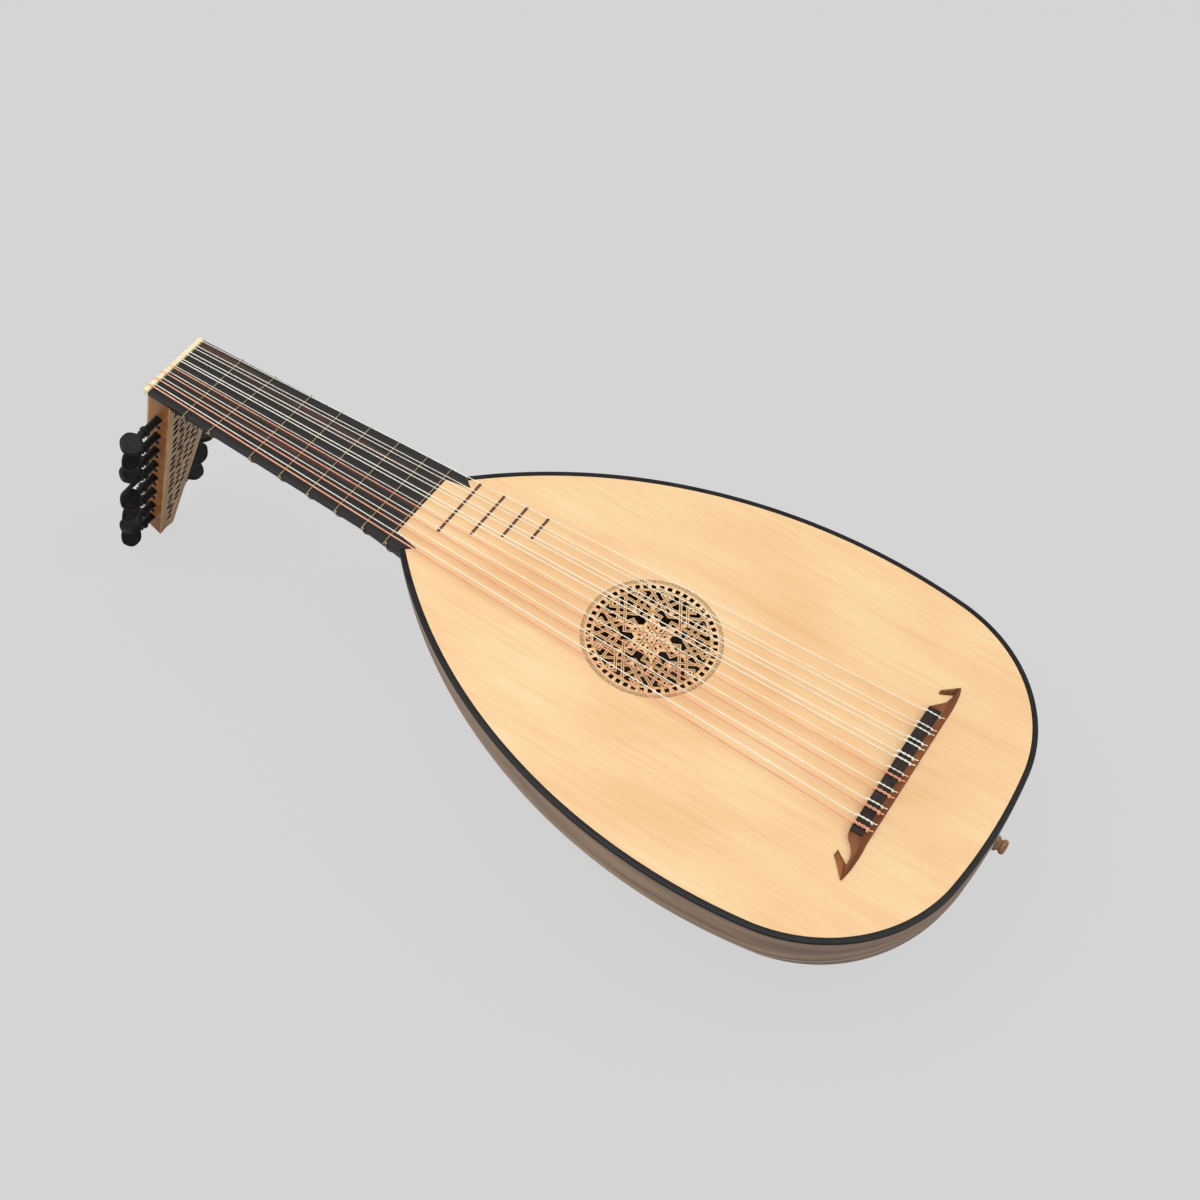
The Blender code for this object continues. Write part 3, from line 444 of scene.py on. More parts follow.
def smoothed(points, steps=6):
    """Catmull-Rom curve through the points."""
    points = [Vector(point) for point in points]
    whole = [2 * points[0] - points[1], *points, 2 * points[-1] - points[-2]]
    curve = []
    for a, b, c, d in zip(whole, whole[1:], whole[2:], whole[3:]):
        for step in range(steps):
            t = step / steps
            curve.append(
                0.5 * (2 * b + (c - a) * t + (2 * a - 5 * b + 4 * c - d) * t * t + (3 * b - 3 * c + d - a) * t ** 3)
            )
    curve.append(points[-1])
    return curve


def filled(outlines, low, high, bevel=0.0):
    """Flat plate with holes, from outlines in millimetres, between two heights."""
    curve = bpy.data.curves.new("plate", "CURVE")
    curve.dimensions = "2D"
    curve.fill_mode = "BOTH"
    curve.extrude = (high - low) / 2 - bevel
    curve.bevel_depth = bevel
    curve.bevel_resolution = 1
    curve.offset = -bevel
    for outline in outlines:
        spline = curve.splines.new("POLY")
        spline.points.add(len(outline) - 1)
        for place, (x, y) in zip(spline.points, outline):
            place.co = (x, y, 0.0, 1.0)
        spline.use_cyclic_u = True
    thing = bpy.data.objects.new("plate", curve)
    scene.collection.objects.link(thing)
    thing.location.z = (high + low) / 2
    bpy.context.view_layer.update()
    data = bpy.data.meshes.new_from_object(thing.evaluated_get(bpy.context.evaluated_depsgraph_get()))
    data.transform(thing.matrix_world)
    bpy.data.objects.remove(thing)
    bpy.data.curves.remove(curve)
    return data


def moved(data, place):
    """Carries every point of a mesh in millimetres to its place in the lute's frame."""
    for vertex in data.vertices:
        vertex.co = place(vertex.co)
    return data


def joined(*datas):
    """One mesh from several."""
    mesh = bmesh.new()
    for data in datas:
        mesh.from_mesh(data)
    whole = bpy.data.meshes.new("joined")
    mesh.to_mesh(whole)
    mesh.free()
    return whole

# Body line


def outline(inset, trim=0.0):
    """Half of the body's line, tail to neck, with its heading; inset runs in from the outer line."""
    grow = EDGE_WIDTH - inset
    turns = [radians(sweep) for sweep in BODY_SWEEPS]
    turns[-1] -= trim / (BODY_RADII[-1] + grow)
    x, y, heading = TAIL_X + grow, 0.0, pi / 2
    places = [(x, y, heading)]
    for radius, turn, steps in zip(BODY_RADII, turns, BODY_STEPS):
        reach = radius + grow
        centre_x = x - reach * sin(heading)
        centre_y = y + reach * cos(heading)
        for step in range(1, steps + 1):
            angle = heading + turn * step / steps
            places.append((centre_x + reach * sin(angle), centre_y - reach * cos(angle), angle))
        x, y, heading = places[-1]
    return places


def mirrored(half):
    return [(x, -y) for x, y in reversed(half[1:])] + list(half)


def millimetres(points):
    return [(x / MM, y / MM) for x, y in points]


# The scene's line keeps this far inside the solids', whose chords cut its arcs
KEEP_IN = 0.00015
OUTER = outline(KEEP_IN, 2 * SEAT_GAP)


def half_width(x):
    for (x0, y0, _), (x1, y1, _) in zip(OUTER, OUTER[1:]):
        if x1 <= x <= x0:
            return y0 + (y1 - y0) * (x - x0) / (x1 - x0)
    return JOINT_HALF


def neck_half(x):
    return NUT_HALF + NECK_TAPER * x


TONGUE_HALF = neck_half(FINGERBOARD_END) - 0.0101
BEARD_HALF = neck_half(FINGERBOARD_END) - 0.0067

# Rose, in millimetres about its own centre
ROSE_EDGE = 41.9
KNOT_RIM = 40.4
RING_COUNT = 48
RING_HOLE = 3.3
RING_RADIUS = 43.95
STRAP = 2.25
INNER = 19.2
OUTER_LINE = 24.2
CORE = 4.35
INNER_NEAR, INNER_FAR = INNER - STRAP / 2, INNER + STRAP / 2
OUTER_NEAR, OUTER_FAR = OUTER_LINE - STRAP / 2, OUTER_LINE + STRAP / 2
CORE_EDGE = 10.55
TRIANGLE_EDGE = 11.3
CHEVRON_EDGE = 30.35
GROUND = -0.38
STRAP_GAP = 0.58
RIDGE = 0.80
HUB = 4.9


def turned(points, degrees_round, flip=1):
    angle = radians(degrees_round)
    return [(x * cos(angle) - flip * y * sin(angle), x * sin(angle) + flip * y * cos(angle)) for x, y in points]


def meet(first, second):
    """Where two lines cross, each given by its normal's angle and its distance from the centre."""
    (turn_one, reach_one), (turn_two, reach_two) = first, second
    one, two = radians(turn_one), radians(turn_two)
    apart = sin(two - one)
    return (
        (reach_one * sin(two) - reach_two * sin(one)) / apart,
        (reach_two * cos(one) - reach_one * cos(two)) / apart,
    )


def bounded(*lines):
    return [meet(one, two) for one, two in zip(lines, lines[1:] + lines[:1])]


def on_circle(turn, reach, radius=KNOT_RIM):
    """Where a line leaves a circle, on its counter-clockwise side."""
    angle = radians(turn) + acos(reach / radius)
    return radius * cos(angle), radius * sin(angle)


def dot_hole(reach, size):
    return [(reach + size * cos(pi * k / 4), size * sin(pi * k / 4)) for k in range(8)]


def circle(radius, count=160):
    return [(radius * cos(2 * pi * k / count), radius * sin(2 * pi * k / count)) for k in range(count)]


def ring_squares():
    side = RING_HOLE / 2
    near, far = RING_RADIUS - side, RING_RADIUS + side
    square = [(near, -side), (far, -side), (far, side), (near, side)]
    return [turned(square, 360 * k / RING_COUNT) for k in range(RING_COUNT)]


def knot_openings():
    square = bounded((-45, INNER_FAR), (45, INNER_FAR), (-45, OUTER_NEAR), (45, OUTER_NEAR))
    small_square = bounded((-45, 25.7), (45, 25.7), (-45, 27.6), (45, 27.6))
    kite = bounded((-30, OUTER_FAR), (30, OUTER_FAR), (-60, INNER_NEAR), (60, INNER_NEAR))
    triangle = bounded((-30, INNER_FAR), (60, INNER_NEAR), (-60, TRIANGLE_EDGE))
    chevron = [
        meet((60, INNER_FAR), (-30, OUTER_FAR)), meet((-30, OUTER_FAR), (60, OUTER_NEAR)),
        meet((60, OUTER_NEAR), (-30, CHEVRON_EDGE)), on_circle(-30, CHEVRON_EDGE),
        on_circle(-60, INNER_NEAR), meet((-60, INNER_NEAR), (60, INNER_FAR)),
    ]
    core_near = CORE - STRAP / 2
    half_heart = bounded(
        (90, 0.0), (-30, CORE_EDGE), (90, core_near), (0, INNER_FAR), (60, INNER_NEAR), (-30, INNER_NEAR),
    )
    heart = half_heart + [(x, -y) for x, y in reversed(half_heart[1:-1])]
    lobe = [(18.3, 4.5), (20.3, 0.6), (16.9, 1.6), (15.5, 3.0)]
    petal = [(6.8, 2.0), (7.9, 3.5), (10.5, 3.5), (9.0, 1.9)]
    openings = []
    for turn in range(0, 360, 30):
        openings.append(turned(square, turn + 15))
        openings.append(turned(small_square, turn + 15))
        openings.append(turned(kite, turn))
        for flip in (-1, 1):
            openings.append(turned(triangle, turn, flip))
            openings.append(turned(chevron, turn, flip))
    for turn in range(0, 360, 60):
        openings.append(turned(heart, turn + 30))
        openings.append(turned(dot_hole(3.9, 1.0), turn))
        openings.append(turned(dot_hole(13.5, 1.0), turn))
        for flip in (-1, 1):
            openings.append(turned(lobe, turn, flip))
            openings.append(turned(petal, turn, flip))
    return openings


def strap_paths():
    """Middle lines of the straps: V shapes, L shapes that end at the hub, and the outer straps."""
    paths = []
    for turn in range(0, 360, 60):
        arm = on_circle(-30, INNER, ROSE_EDGE)
        tip = meet((-30, INNER), (30, INNER))
        paths.append(turned([(arm[0], arm[1]), tip, (arm[0], -arm[1])], turn + 30))
        rim = (sqrt(ROSE_EDGE ** 2 - INNER ** 2), INNER)
        for flip in (-1, 1):
            paths.append(turned([rim, (CORE, INNER), (CORE, HUB / 2)], turn, flip))
    for turn in range(0, 360, 30):
        for flip in (-1, 1):
            bend = CHEVRON_EDGE - STRAP / 2
            start = meet((-30, OUTER_LINE), (60, TRIANGLE_EDGE))
            corner = meet((-30, OUTER_LINE), (60, bend))
            rim = turned([(bend, -sqrt(ROSE_EDGE ** 2 - bend ** 2))], 60)[0]
            paths.append(turned([start, corner, rim], turn, flip))
    return [[Vector(point) for point in path] for path in paths]


def crossing(a, b, c, d):
    """How far along a-b it crosses c-d, or None."""
    one, two = b - a, d - c
    apart = one.x * two.y - one.y * two.x
    if abs(apart) < 1e-6:
        return None
    offset = c - a
    along = (offset.x * two.y - offset.y * two.x) / apart
    other = (offset.x * one.y - offset.y * one.x) / apart
    if 0.02 < along < 0.98 and 0.02 < other < 0.98:
        return along
    return None


def side_of(a, b, point):
    """Which side of its own foot a crossing lies on, counter-clockwise positive."""
    heading = (b - a).normalized()
    foot = a - heading * a.dot(heading)
    return foot.x * point.y - foot.y * point.x


def woven_runs(paths):
    """The paths cut where they pass under another."""
    pieces = [(a, b) for path in paths for a, b in zip(path, path[1:])]
    runs = []
    for path in paths:
        run = [path[0]]
        for a, b in zip(path, path[1:]):
            cuts = []
            for c, d in pieces:
                along = crossing(a, b, c, d)
                if along is None:
                    continue
                point = a + (b - a) * along
                if side_of(a, b, point) < side_of(c, d, point):
                    cuts.append(along)
            heading = (b - a).normalized()
            for along in sorted(cuts):
                point = a + (b - a) * along
                run.append(point - heading * STRAP / 2)
                runs.append(run)
                run = [point + heading * STRAP / 2]
            run.append(b)
        runs.append(run)
    return [run for run in runs if (run[-1] - run[0]).length > 0.5]


def add_ridge(mesh, run, shift, half=RIDGE / 2, top=-0.02, slope=0.16):
    """One of a strap's two raised lines, shift to the side of its middle."""
    rings = []
    for k, point in enumerate(run):
        before = (point - run[k - 1]).normalized() if k else None
        after = (run[k + 1] - point).normalized() if k + 1 < len(run) else None
        heading = ((before or after) + (after or before)).normalized()
        side = Vector((-heading.y, heading.x))
        stretch = 1.0 / max(0.35, heading.dot(before or after))
        ring = []
        low = GROUND - 0.15
        for across, z in ((-half, low), (slope - half, top), (half - slope, top), (half, low)):
            place = point + side * (shift + across) * stretch
            ring.append((place.x, place.y, z))
        rings.append(ring)
    add_loft(mesh, rings)


def rose_to_lute(point):
    return Vector((ROSE_X + point.x * MM, ROSE_Y + point.y * MM, point.z * MM))


def make_rose():
    ground = filled([circle(ROSE_EDGE + 0.3), *knot_openings()], -1.35, GROUND, 0.0)
    # The walls of the rose's openings get painted shade
    rose = shown("rose_ground", moved(ground, rose_to_lute), SPRUCE, more=(CUT_WALL_SHADE,))
    paint_cut_shade(rose, Vector((0.0, 0.0, 1.0)))
    dress(rose, "spruce", "soundboard")
    dots = [turned(dot_hole(3.85, 0.85), turn) for turn in range(0, 360, 60)]
    # The walls of the hub's dots get painted shade
    hub = shown("rose_hub", moved(filled([circle(HUB, 60), *dots], GROUND - 0.1, -0.02), rose_to_lute), SPRUCE, more=(CUT_WALL_SHADE,))
    paint_cut_shade(hub, Vector((0.0, 0.0, 1.0)))
    dress(hub, "spruce", "soundboard")
    mesh = bmesh.new()
    grooves = bmesh.new()
    paths = strap_paths()
    for run in woven_runs(paths):
        for side in (-1, 1):
            add_ridge(mesh, run, side * (STRAP_GAP + RIDGE) / 2)
        # Brown strip down the middle of each strap, painted shade in its groove
        add_ridge(grooves, run, 0.0, STRAP_GAP / 2 + 0.1, GROUND + 0.14, 0.0)
    ring = [Vector(point) for point in circle(1.8, 36)]
    ring += ring[:2]
    add_ridge(grooves, ring, 0.0, 0.24, 0.0, 0.0)
    lines = finished("rose_grooves", grooves, GROOVE_SHADE, 20.0)
    moved(lines.data, rose_to_lute)
    dress(lines, "spruce", "soundboard")
    rim = [Vector(point) for point in circle(KNOT_RIM + 0.45, 120)]
    rim += rim[:2]
    add_ridge(mesh, rim, 0.0)
    for turn in range(0, 360, 60):
        petal = [(12.0, 0.0), (11.6, 2.2), (10.4, 3.7), (8.2, 4.4)]
        for flip in (-1, 1):
            arc = smoothed([(x, y, 0.0) for x, y in turned(petal, turn, flip)], 4)
            add_ridge(mesh, [point.xy for point in arc], 0.0)
    straps = finished("rose_straps", mesh, SPRUCE, 20.0)
    moved(straps.data, rose_to_lute)
    dress(straps, "spruce", "soundboard")


def make_ticks():
    """Ring of fine knife marks round the rose."""
    mesh = bmesh.new()
    count = 6 * RING_COUNT
    for k in range(count):
        near = 46.7 + chance.uniform(-0.1, 0.1)
        far = 49.8 + chance.uniform(-0.3, 0.2)
        wide = 0.30
        mark = [(near, -wide / 2), (far, -wide), (far, wide), (near, wide / 2)]
        rings = []
        for z in (-0.2, 0.03):
            rings.append([(x, y, z) for x, y in turned(mark, 360 * (k + chance.uniform(-0.12, 0.12)) / count)])
        add_loft(mesh, rings)
    ticks = finished("rose_ticks", mesh, TICK)
    moved(ticks.data, rose_to_lute)
    dress(ticks, "spruce", "soundboard")


def make_soundboard():
    inset = EDGE_WIDTH + SEAT_GAP / 2
    half = [(x, y) for x, y, _ in outline(inset, 2 * SEAT_GAP)]
    half += [(FINGERBOARD_END + BEARD_LENGTH + 0.0005, BEARD_HALF), (FINGERBOARD_END + 0.0002, TONGUE_HALF - 0.0002)]
    edge = millimetres(mirrored(half))
    middle = (ROSE_X / MM, ROSE_Y / MM)
    holes = []
    for loop in (circle(ROSE_EDGE), *ring_squares()):
        holes.append([(x + middle[0], y + middle[1]) for x, y in loop])
    top = filled([edge, *holes], -BOARD_THICKNESS / MM, 0.0, 0.0)
    under_line = [(x, y) for x, y, _ in outline(EDGE_SIDE + SEAT_GAP, 2 * SEAT_GAP)]
    under_line += half[-2:]
    under = filled([millimetres(mirrored(under_line)), *holes], -BOARD_THICKNESS / MM, -1.6, 0.0)
    board = joined(top, under)
    thing = shown("soundboard_top", moved(board, lambda point: point * MM), SPRUCE, more=(CUT_WALL_SHADE,))
    # The walls of the rose hole and the ring of squares get painted shade
    paint_cut_shade(thing, Vector((0.0, 0.0, 1.0)), Vector((ROSE_X, ROSE_Y, 0.0)), 0.047)
    dress(thing, "spruce", "soundboard")
    mesh = bmesh.new()
    for place in (0.0595, 0.1145, 0.2445, 0.2895, 0.3345):
        x = JOINT_X + place
        reach = half_width(x) - 0.0075
        rings = []
        for y in (-reach, reach):
            rings.append([
                (x, y, -0.002), (x + 0.005, y, -0.002), (x + 0.005, y, -0.012), (x + 0.0035, y, -0.0154),
                (x + 0.0015, y, -0.0154), (x, y, -0.012),
            ])
        add_loft(mesh, rings)
    dress(finished("soundboard_bars", mesh, SPRUCE), "spruce", "soundboard")
    ends = ((-0.0123, 0.0418), (-0.0005, 0.0426), (0.0105, 0.0437), (0.0212, 0.0438))
    mesh = bmesh.new()
    for k, (bass, treble) in enumerate(ends):
        x = STRING_LENGTH * (1 - 2 ** (-(9 + k) / 12))
        rings = []
        for y in (bass, treble):
            rings.append([
                (x - 0.0010, y, -0.0004), (x + 0.0010, y, -0.0004), (x + 0.0010, y, 0.0003),
                (x + 0.0006, y, 0.0006), (x - 0.0006, y, 0.0006), (x - 0.0010, y, 0.0003),
            ])
        add_loft(mesh, rings)
    dress(finished("body_frets", mesh, INLAY), "spruce", "soundboard")


def make_binding():
    """L section round the body with its outer corners rounded."""
    section = (
        (0.0, -BOARD_THICKNESS), (0.0, -0.0007), (0.0002, -0.0002), (0.0007, 0.0), (EDGE_WIDTH - 0.0001, 0.0),
        (EDGE_WIDTH, -0.0001), (EDGE_WIDTH, -EDGE_TOP), (EDGE_SIDE, -EDGE_TOP), (EDGE_SIDE, -BOARD_THICKNESS),
    )
    lines = [mirrored([(x, y) for x, y, _ in outline(inset + KEEP_IN, 2 * SEAT_GAP)]) for inset, _ in section]
    rings = []
    for k in range(len(lines[0])):
        rings.append([(*line[k], z) for line, (_, z) in zip(lines, section)])
    mesh = bmesh.new()
    add_loft(mesh, rings)
    dress(finished("binding", mesh, EBONY), "ebony", "edge_binding")


# Bowl


def bowl_point(x, half, t):
    top = -BOARD_THICKNESS - SEAT_GAP
    return Vector((x, half * cos(t), top - BOWL_RATIO * half * sin(t)))


def bowl_normal(heading, t):
    return Vector((
        BOWL_RATIO * sin(heading), -BOWL_RATIO * cos(heading) * cos(t), cos(heading) * sin(t),
    )).normalized()


def make_ribs():
    """Each rib is smooth along the bowl and flat across, with a pale line let into its lower edge."""
    stations = [(OUTER[0][0], RIB_TAIL_HALF, OUTER[0][2])]
    stations += [place for place in OUTER[1:] if place[1] > RIB_TAIL_HALF + 0.0005]
    for number in range(RIB_COUNT):
        first = pi * number / RIB_COUNT
        second = pi * (number + 1) / RIB_COUNT
        if number > RIB_COUNT // 2:
            first, second = second, first
        rings = []
        for x, half, heading in stations:
            near = bowl_point(x, half, first)
            far = bowl_point(x, half, second)
            across = (far - near).normalized()
            wide = (far - near).length
            near_in = -RIB_THICKNESS * bowl_normal(heading, first)
            far_in = -RIB_THICKNESS * bowl_normal(heading, second)
            gap = SEAT_GAP / 4
            sunk = min(0.00018, wide * 0.05)
            line = min(0.0015, wide * 0.14)
            lip = near_in.normalized() * sunk
            far_lip = far_in.normalized() * sunk
            rings.append([
                near + across * gap + lip, near + across * (gap + sunk), far - across * (gap + line + sunk),
                far - across * (gap + line) + far_lip, far - across * gap + far_lip,
                far - across * gap + far_in, near + across * gap + near_in,
            ])
        mesh = bmesh.new()
        rows = add_loft(mesh, rings)
        pale = set()
        for low, high in zip(rows, rows[1:]):
            pale.add(frozenset((low[3], low[4], high[3], high[4])))
        if number != RIB_COUNT // 2:
            for face in mesh.faces:
                if frozenset(face.verts) in pale:
                    face.material_index = 1
        name = f"rib_{number + 1:02d}"
        dress(finished(f"bowl_{name}", mesh, RIBS, 30.0, (RIB_EDGE_LINE,)), "rib_wood", name)


# Neck, nut and tied frets
LEAN = tan(PEGBOX_TILT)
UP = Vector((sin(PEGBOX_TILT), 0.0, cos(PEGBOX_TILT)))
FRONT = Vector((-UP.z, 0.0, UP.x))
NECK_TOP = -FINGERBOARD_THICKNESS - SEAT_GAP
HEEL_DEPTH = BOWL_RATIO * JOINT_HALF - FINGERBOARD_THICKNESS + BOARD_THICKNESS
PEGBOX_HALF = neck_half(PEGBOX_X)


def pegbox_point(down, depth, y):
    return Vector((PEGBOX_X, 0.0, 0.0)) - UP * down + FRONT * depth + Vector((0.0, y, 0.0))


def pegbox_half(down):
    return PEGBOX_HALF + (PEGBOX_TIP_HALF - PEGBOX_HALF) * down / PEGBOX_LENGTH


def down_at(z, depth):
    return (FRONT.z * depth - z) / UP.z


def neck_depth(x):
    return NECK_DEPTH_AT_NUT + (HEEL_DEPTH - NECK_DEPTH_AT_NUT) * (x - PEGBOX_X) / (JOINT_X - PEGBOX_X)


def neck_bend(x):
    """How much leaner than an ellipse the neck's section is; an ellipse again where it meets the bowl."""
    return 1.0 + 0.36 * min(1.0, max(0.0, (JOINT_X - x) / 0.036))


def bent(value, power):
    return (1 if value > 0 else -1) * abs(value) ** power


def make_neck():
    facets = 48
    turns = [pi * k / facets for k in range(facets + 1)]
    rings = []
    for k in range(17):
        x = PEGBOX_X + SEAT_GAP + (JOINT_X - PEGBOX_X - SEAT_GAP) * k / 16
        ring = []
        for turn in turns:
            z = -neck_depth(x) * bent(sin(turn), neck_bend(x)) + NECK_TOP
            ring.append((x + (LEAN * z if k == 0 else 0.0), neck_half(x) * bent(cos(turn), neck_bend(x)), z))
        rings.append(ring)
    for k in range(4):
        x = JOINT_X + 0.0002 + BLOCK_LENGTH * k / 3
        half = half_width(max(x, OUTER[-1][0])) - 0.0045
        depth = BOWL_RATIO * half - 0.0012
        rings.append([(x, half * cos(turn), NECK_TOP - depth * sin(turn)) for turn in turns])
    mesh = bmesh.new()
    add_loft(mesh, rings)
    back = pegbox_point(0.0145, -0.0030, 0.0)
    profile = ((-0.0030, NECK_TOP), (-0.0016, NECK_TOP - 0.0062), (back.x, back.z), (PEGBOX_X + 0.003, NECK_TOP))
    rings = []
    for side in (-1, 1):
        ring = []
        for x, z in profile:
            down = (Vector((PEGBOX_X, 0.0, 0.0)) - Vector((x, 0.0, z))).dot(UP)
            ring.append((x, side * (pegbox_half(down) - CHEEK_THICKNESS - SEAT_GAP / 2), z))
        rings.append(ring)
    add_loft(mesh, rings)
    dress(finished("neck_veneered", mesh, NECK_WOOD), "ebony", "neck")


# Each string: place at the bridge and at the nut as shares of their half-widths, and diameter
STRINGS = (
    (0.916, 0.908, 0.0005),
    (0.715, 0.722, 0.0005), (0.645, 0.633, 0.0005),
    (0.470, 0.481, 0.0006), (0.400, 0.392, 0.0006),
    (0.226, 0.210, 0.0007), (0.148, 0.139, 0.0007),
    (-0.024, -0.049, 0.0005), (-0.113, -0.108, 0.0008),
    (-0.285, -0.265, 0.0006), (-0.372, -0.349, 0.0009),
    (-0.544, -0.500, 0.0006), (-0.631, -0.593, 0.0010),
    (-0.796, -0.744, 0.0007), (-0.902, -0.827, 0.0011),
)


def make_nut():
    """Bone nut with a rounded top and a groove under every string."""
    half = NUT_HALF + 0.0001
    grooves = [(nut * NUT_HALF, max(diameter, 0.0006)) for _, nut, diameter in STRINGS]
    places = {-half, half}
    for y, wide in grooves:
        places.update((y - 0.60 * wide, y - 0.40 * wide, y + 0.40 * wide, y + 0.60 * wide))
    for k in range(41):
        places.add(-half + 2 * half * k / 40)
    rings = []
    crest = NUT_TOP + 0.00045
    for y in sorted(places):
        top = crest
        for groove, wide in grooves:
            near = abs(y - groove) / wide
            if near < 0.45:
                top = NUT_TOP
        fade = min(1.0, (half - abs(y)) / 0.0008)
        top -= 0.0006 * (1 - fade) ** 2
        rings.append([
            (0.0, y, NECK_TOP + SEAT_GAP), (0.0, y, top - 0.0005), (-0.0004, y, top - 0.0001), (-0.0012, y, top),
            (-0.0026, y, top - 0.0001), (-0.0038, y, top - 0.0005), (-0.0046, y, top - 0.0013),
            (-0.0049, y, top - 0.0024), (-0.0031, y, NECK_TOP + SEAT_GAP),
        ])
    mesh = bmesh.new()
    add_loft(mesh, rings)
    dress(finished("nut_bone", mesh, BONE, 40.0), "ivory", "nut")


FRET_NUDGE = (0.0008, -0.0072, 0.0009, -0.0001, -0.0014, -0.0016, -0.0010, -0.0032)
FRET_SLANT = (0.0, 0.0062, 0.0, 0.0, 0.0, 0.0, 0.0, 0.0)
FRET_RADIUS = 0.00040


def fret_loop(x, slant, shift):
    """Gut once round the neck; shift sets the two turns of a fret beside each other."""
    out = FRET_RADIUS + 0.0002
    bass = neck_half(x) + out
    treble = neck_half(x + slant) + out
    low = neck_depth(x + slant) + out
    points = []
    for k in range(41):
        share = k / 40
        half = bass + (treble - bass) * share
        across, down = bent(cos(pi * share), neck_bend(x)), bent(sin(pi * share), neck_bend(x))
        points.append((x + slant * share + shift, -half * across, NECK_TOP - low * down))
    points.append((x + slant + shift, treble, -0.0012))
    points.append((x + slant + shift, treble - 0.0002, out - 0.0002))
    points.append((x + slant + shift, treble - 0.0009, out))
    for k in range(1, 12):
        share = k / 12
        points.append((x + slant * (1 - share) + shift, (treble - 0.0009) * (1 - 2 * share), out))
    points.append((x + shift, -bass + 0.0009, out))
    points.append((x + shift, -bass + 0.0002, out - 0.0002))
    points.append((x + shift, -bass, -0.0012))
    return points


def make_frets():
    """Each fret is tied at the bass side in a small knot with two short ends."""
    for k in range(8):
        x = STRING_LENGTH * (1 - 2 ** (-(k + 1) / 12)) + FRET_NUDGE[k]
        mesh = bmesh.new()
        add_tube(mesh, fret_loop(x, FRET_SLANT[k], 0.0), FRET_RADIUS, 8)
        bass = neck_half(x) + FRET_RADIUS
        knot = []
        for step in range(25):
            turn = 2 * pi * 1.5 * step / 24
            knot.append((x + 0.0008 * cos(turn), -bass - 0.0005 - 0.0005 * sin(turn * 0.5), -0.0016 + 0.0009 * sin(turn)))
        add_tube(mesh, knot, FRET_RADIUS, 8)
        for side in (-1, 1):
            lean = chance.uniform(0.6, 1.3)
            tail = [
                (x, -bass - 0.0004, -0.0016), (x + side * 0.0009, -bass - 0.0008, -0.0016 + side * 0.0005),
                (x + side * 0.0017 * lean, -bass - 0.0013, -0.0015 + side * 0.0011),
            ]
            add_tube(mesh, smoothed(tail, 3), FRET_RADIUS * 0.95, 8)
        dress(finished(f"tied_fret_{k + 1}", mesh, FRET_LOOK, 60.0), "gut", f"fret_{k + 1}")

# Pegbox


def peg_radius(y, down, side):
    share = (side * y + pegbox_half(down)) / (2 * pegbox_half(down))
    return PEG_THIN + (PEG_THICK - PEG_THIN) * share


def peg_rows():
    rows = []
    for side, *row in ((-1, BASS_PEGS, BASS_TURNS, BASS_REACH), (1, TREBLE_PEGS, TREBLE_TURNS, TREBLE_REACH)):
        for number, (share, turn, reach) in enumerate(zip(*row)):
            rows.append((number + 1, PEGBOX_LENGTH * share, side, turn, reach))
    return rows


# Thickness of the wood laid over the cheeks' back and front edges
FACING = 0.0005
FRONT_STRIP = 0.0013


def strip_section(near, far, deep):
    """Section of a strip on a cheek's edge: depth below the edge, and distance in from the outer face."""
    return (0.0, near + 0.0001), (0.0, far), (deep, far), (deep, near), (0.0001, near)


def cheek_edge(share, depth, front):
    """Place along a cheek's back or front edge, and this far below it."""
    if front:
        start = down_at(NECK_TOP, CHEEK_DEPTH - depth)
        down = start + (PEGBOX_LENGTH - CHEEK_END_SLANT - start) * share
        return down, CHEEK_DEPTH + (CHEEK_TIP_DEPTH - CHEEK_DEPTH) * share - depth
    start = down_at(NECK_TOP, depth)
    return start + (PEGBOX_LENGTH - start) * share, depth


def make_cheek(side):
    """Cheek with rounded edges and tapered peg holes, a pale back edge and golden lines at its corners."""
    front = CHEEK_DEPTH - FRONT_STRIP
    edge = [
        (down_at(NECK_TOP, FACING), FACING), (down_at(NECK_TOP, front), front),
        (PEGBOX_LENGTH - CHEEK_END_SLANT, CHEEK_TIP_DEPTH - FRONT_STRIP), (PEGBOX_LENGTH, FACING),
    ]
    holes = []
    for _, down, peg_side, *_ in peg_rows():
        radius = peg_radius(side * pegbox_half(down), down, peg_side) + 0.0002
        middle = (down / MM, PEG_DEPTH / MM)
        holes.append([(middle[0] + x, middle[1] + y) for x, y in circle(radius / MM, 36)])

    def place(point):
        down = point.x * MM
        return pegbox_point(down, point.y * MM, side * (pegbox_half(down) - point.z * MM))

    data = moved(filled([millimetres(edge), *holes], 0.0, CHEEK_THICKNESS / MM, 0.35), place)
    name = "cheek_bass" if side < 0 else "cheek_treble"
    dress(shown(f"{name}_wood", data, CHEEK), "cheek_wood", name)
    strips = (
        ("facing", PLATE, strip_section(0.0012, CHEEK_THICKNESS, FACING), False),
        ("stringing", STRINGING, strip_section(0.0, 0.0012, 0.0008), False),
        ("front", CHEEK, strip_section(0.0012, CHEEK_THICKNESS, FRONT_STRIP), True),
        ("front_stringing", STRINGING, strip_section(0.0, 0.0012, 0.0016), True),
    )
    for piece, look, section, front in strips:
        mesh = bmesh.new()
        rings = []
        for k in range(25):
            rings.append([])
            for below, drop in section:
                down, depth = cheek_edge(k / 24, below, front)
                rings[-1].append(pegbox_point(down, depth, side * (pegbox_half(down) - drop)))
        add_loft(mesh, rings)
        dress(finished(f"{name}_{piece}", mesh, look), "cheek_wood", name)


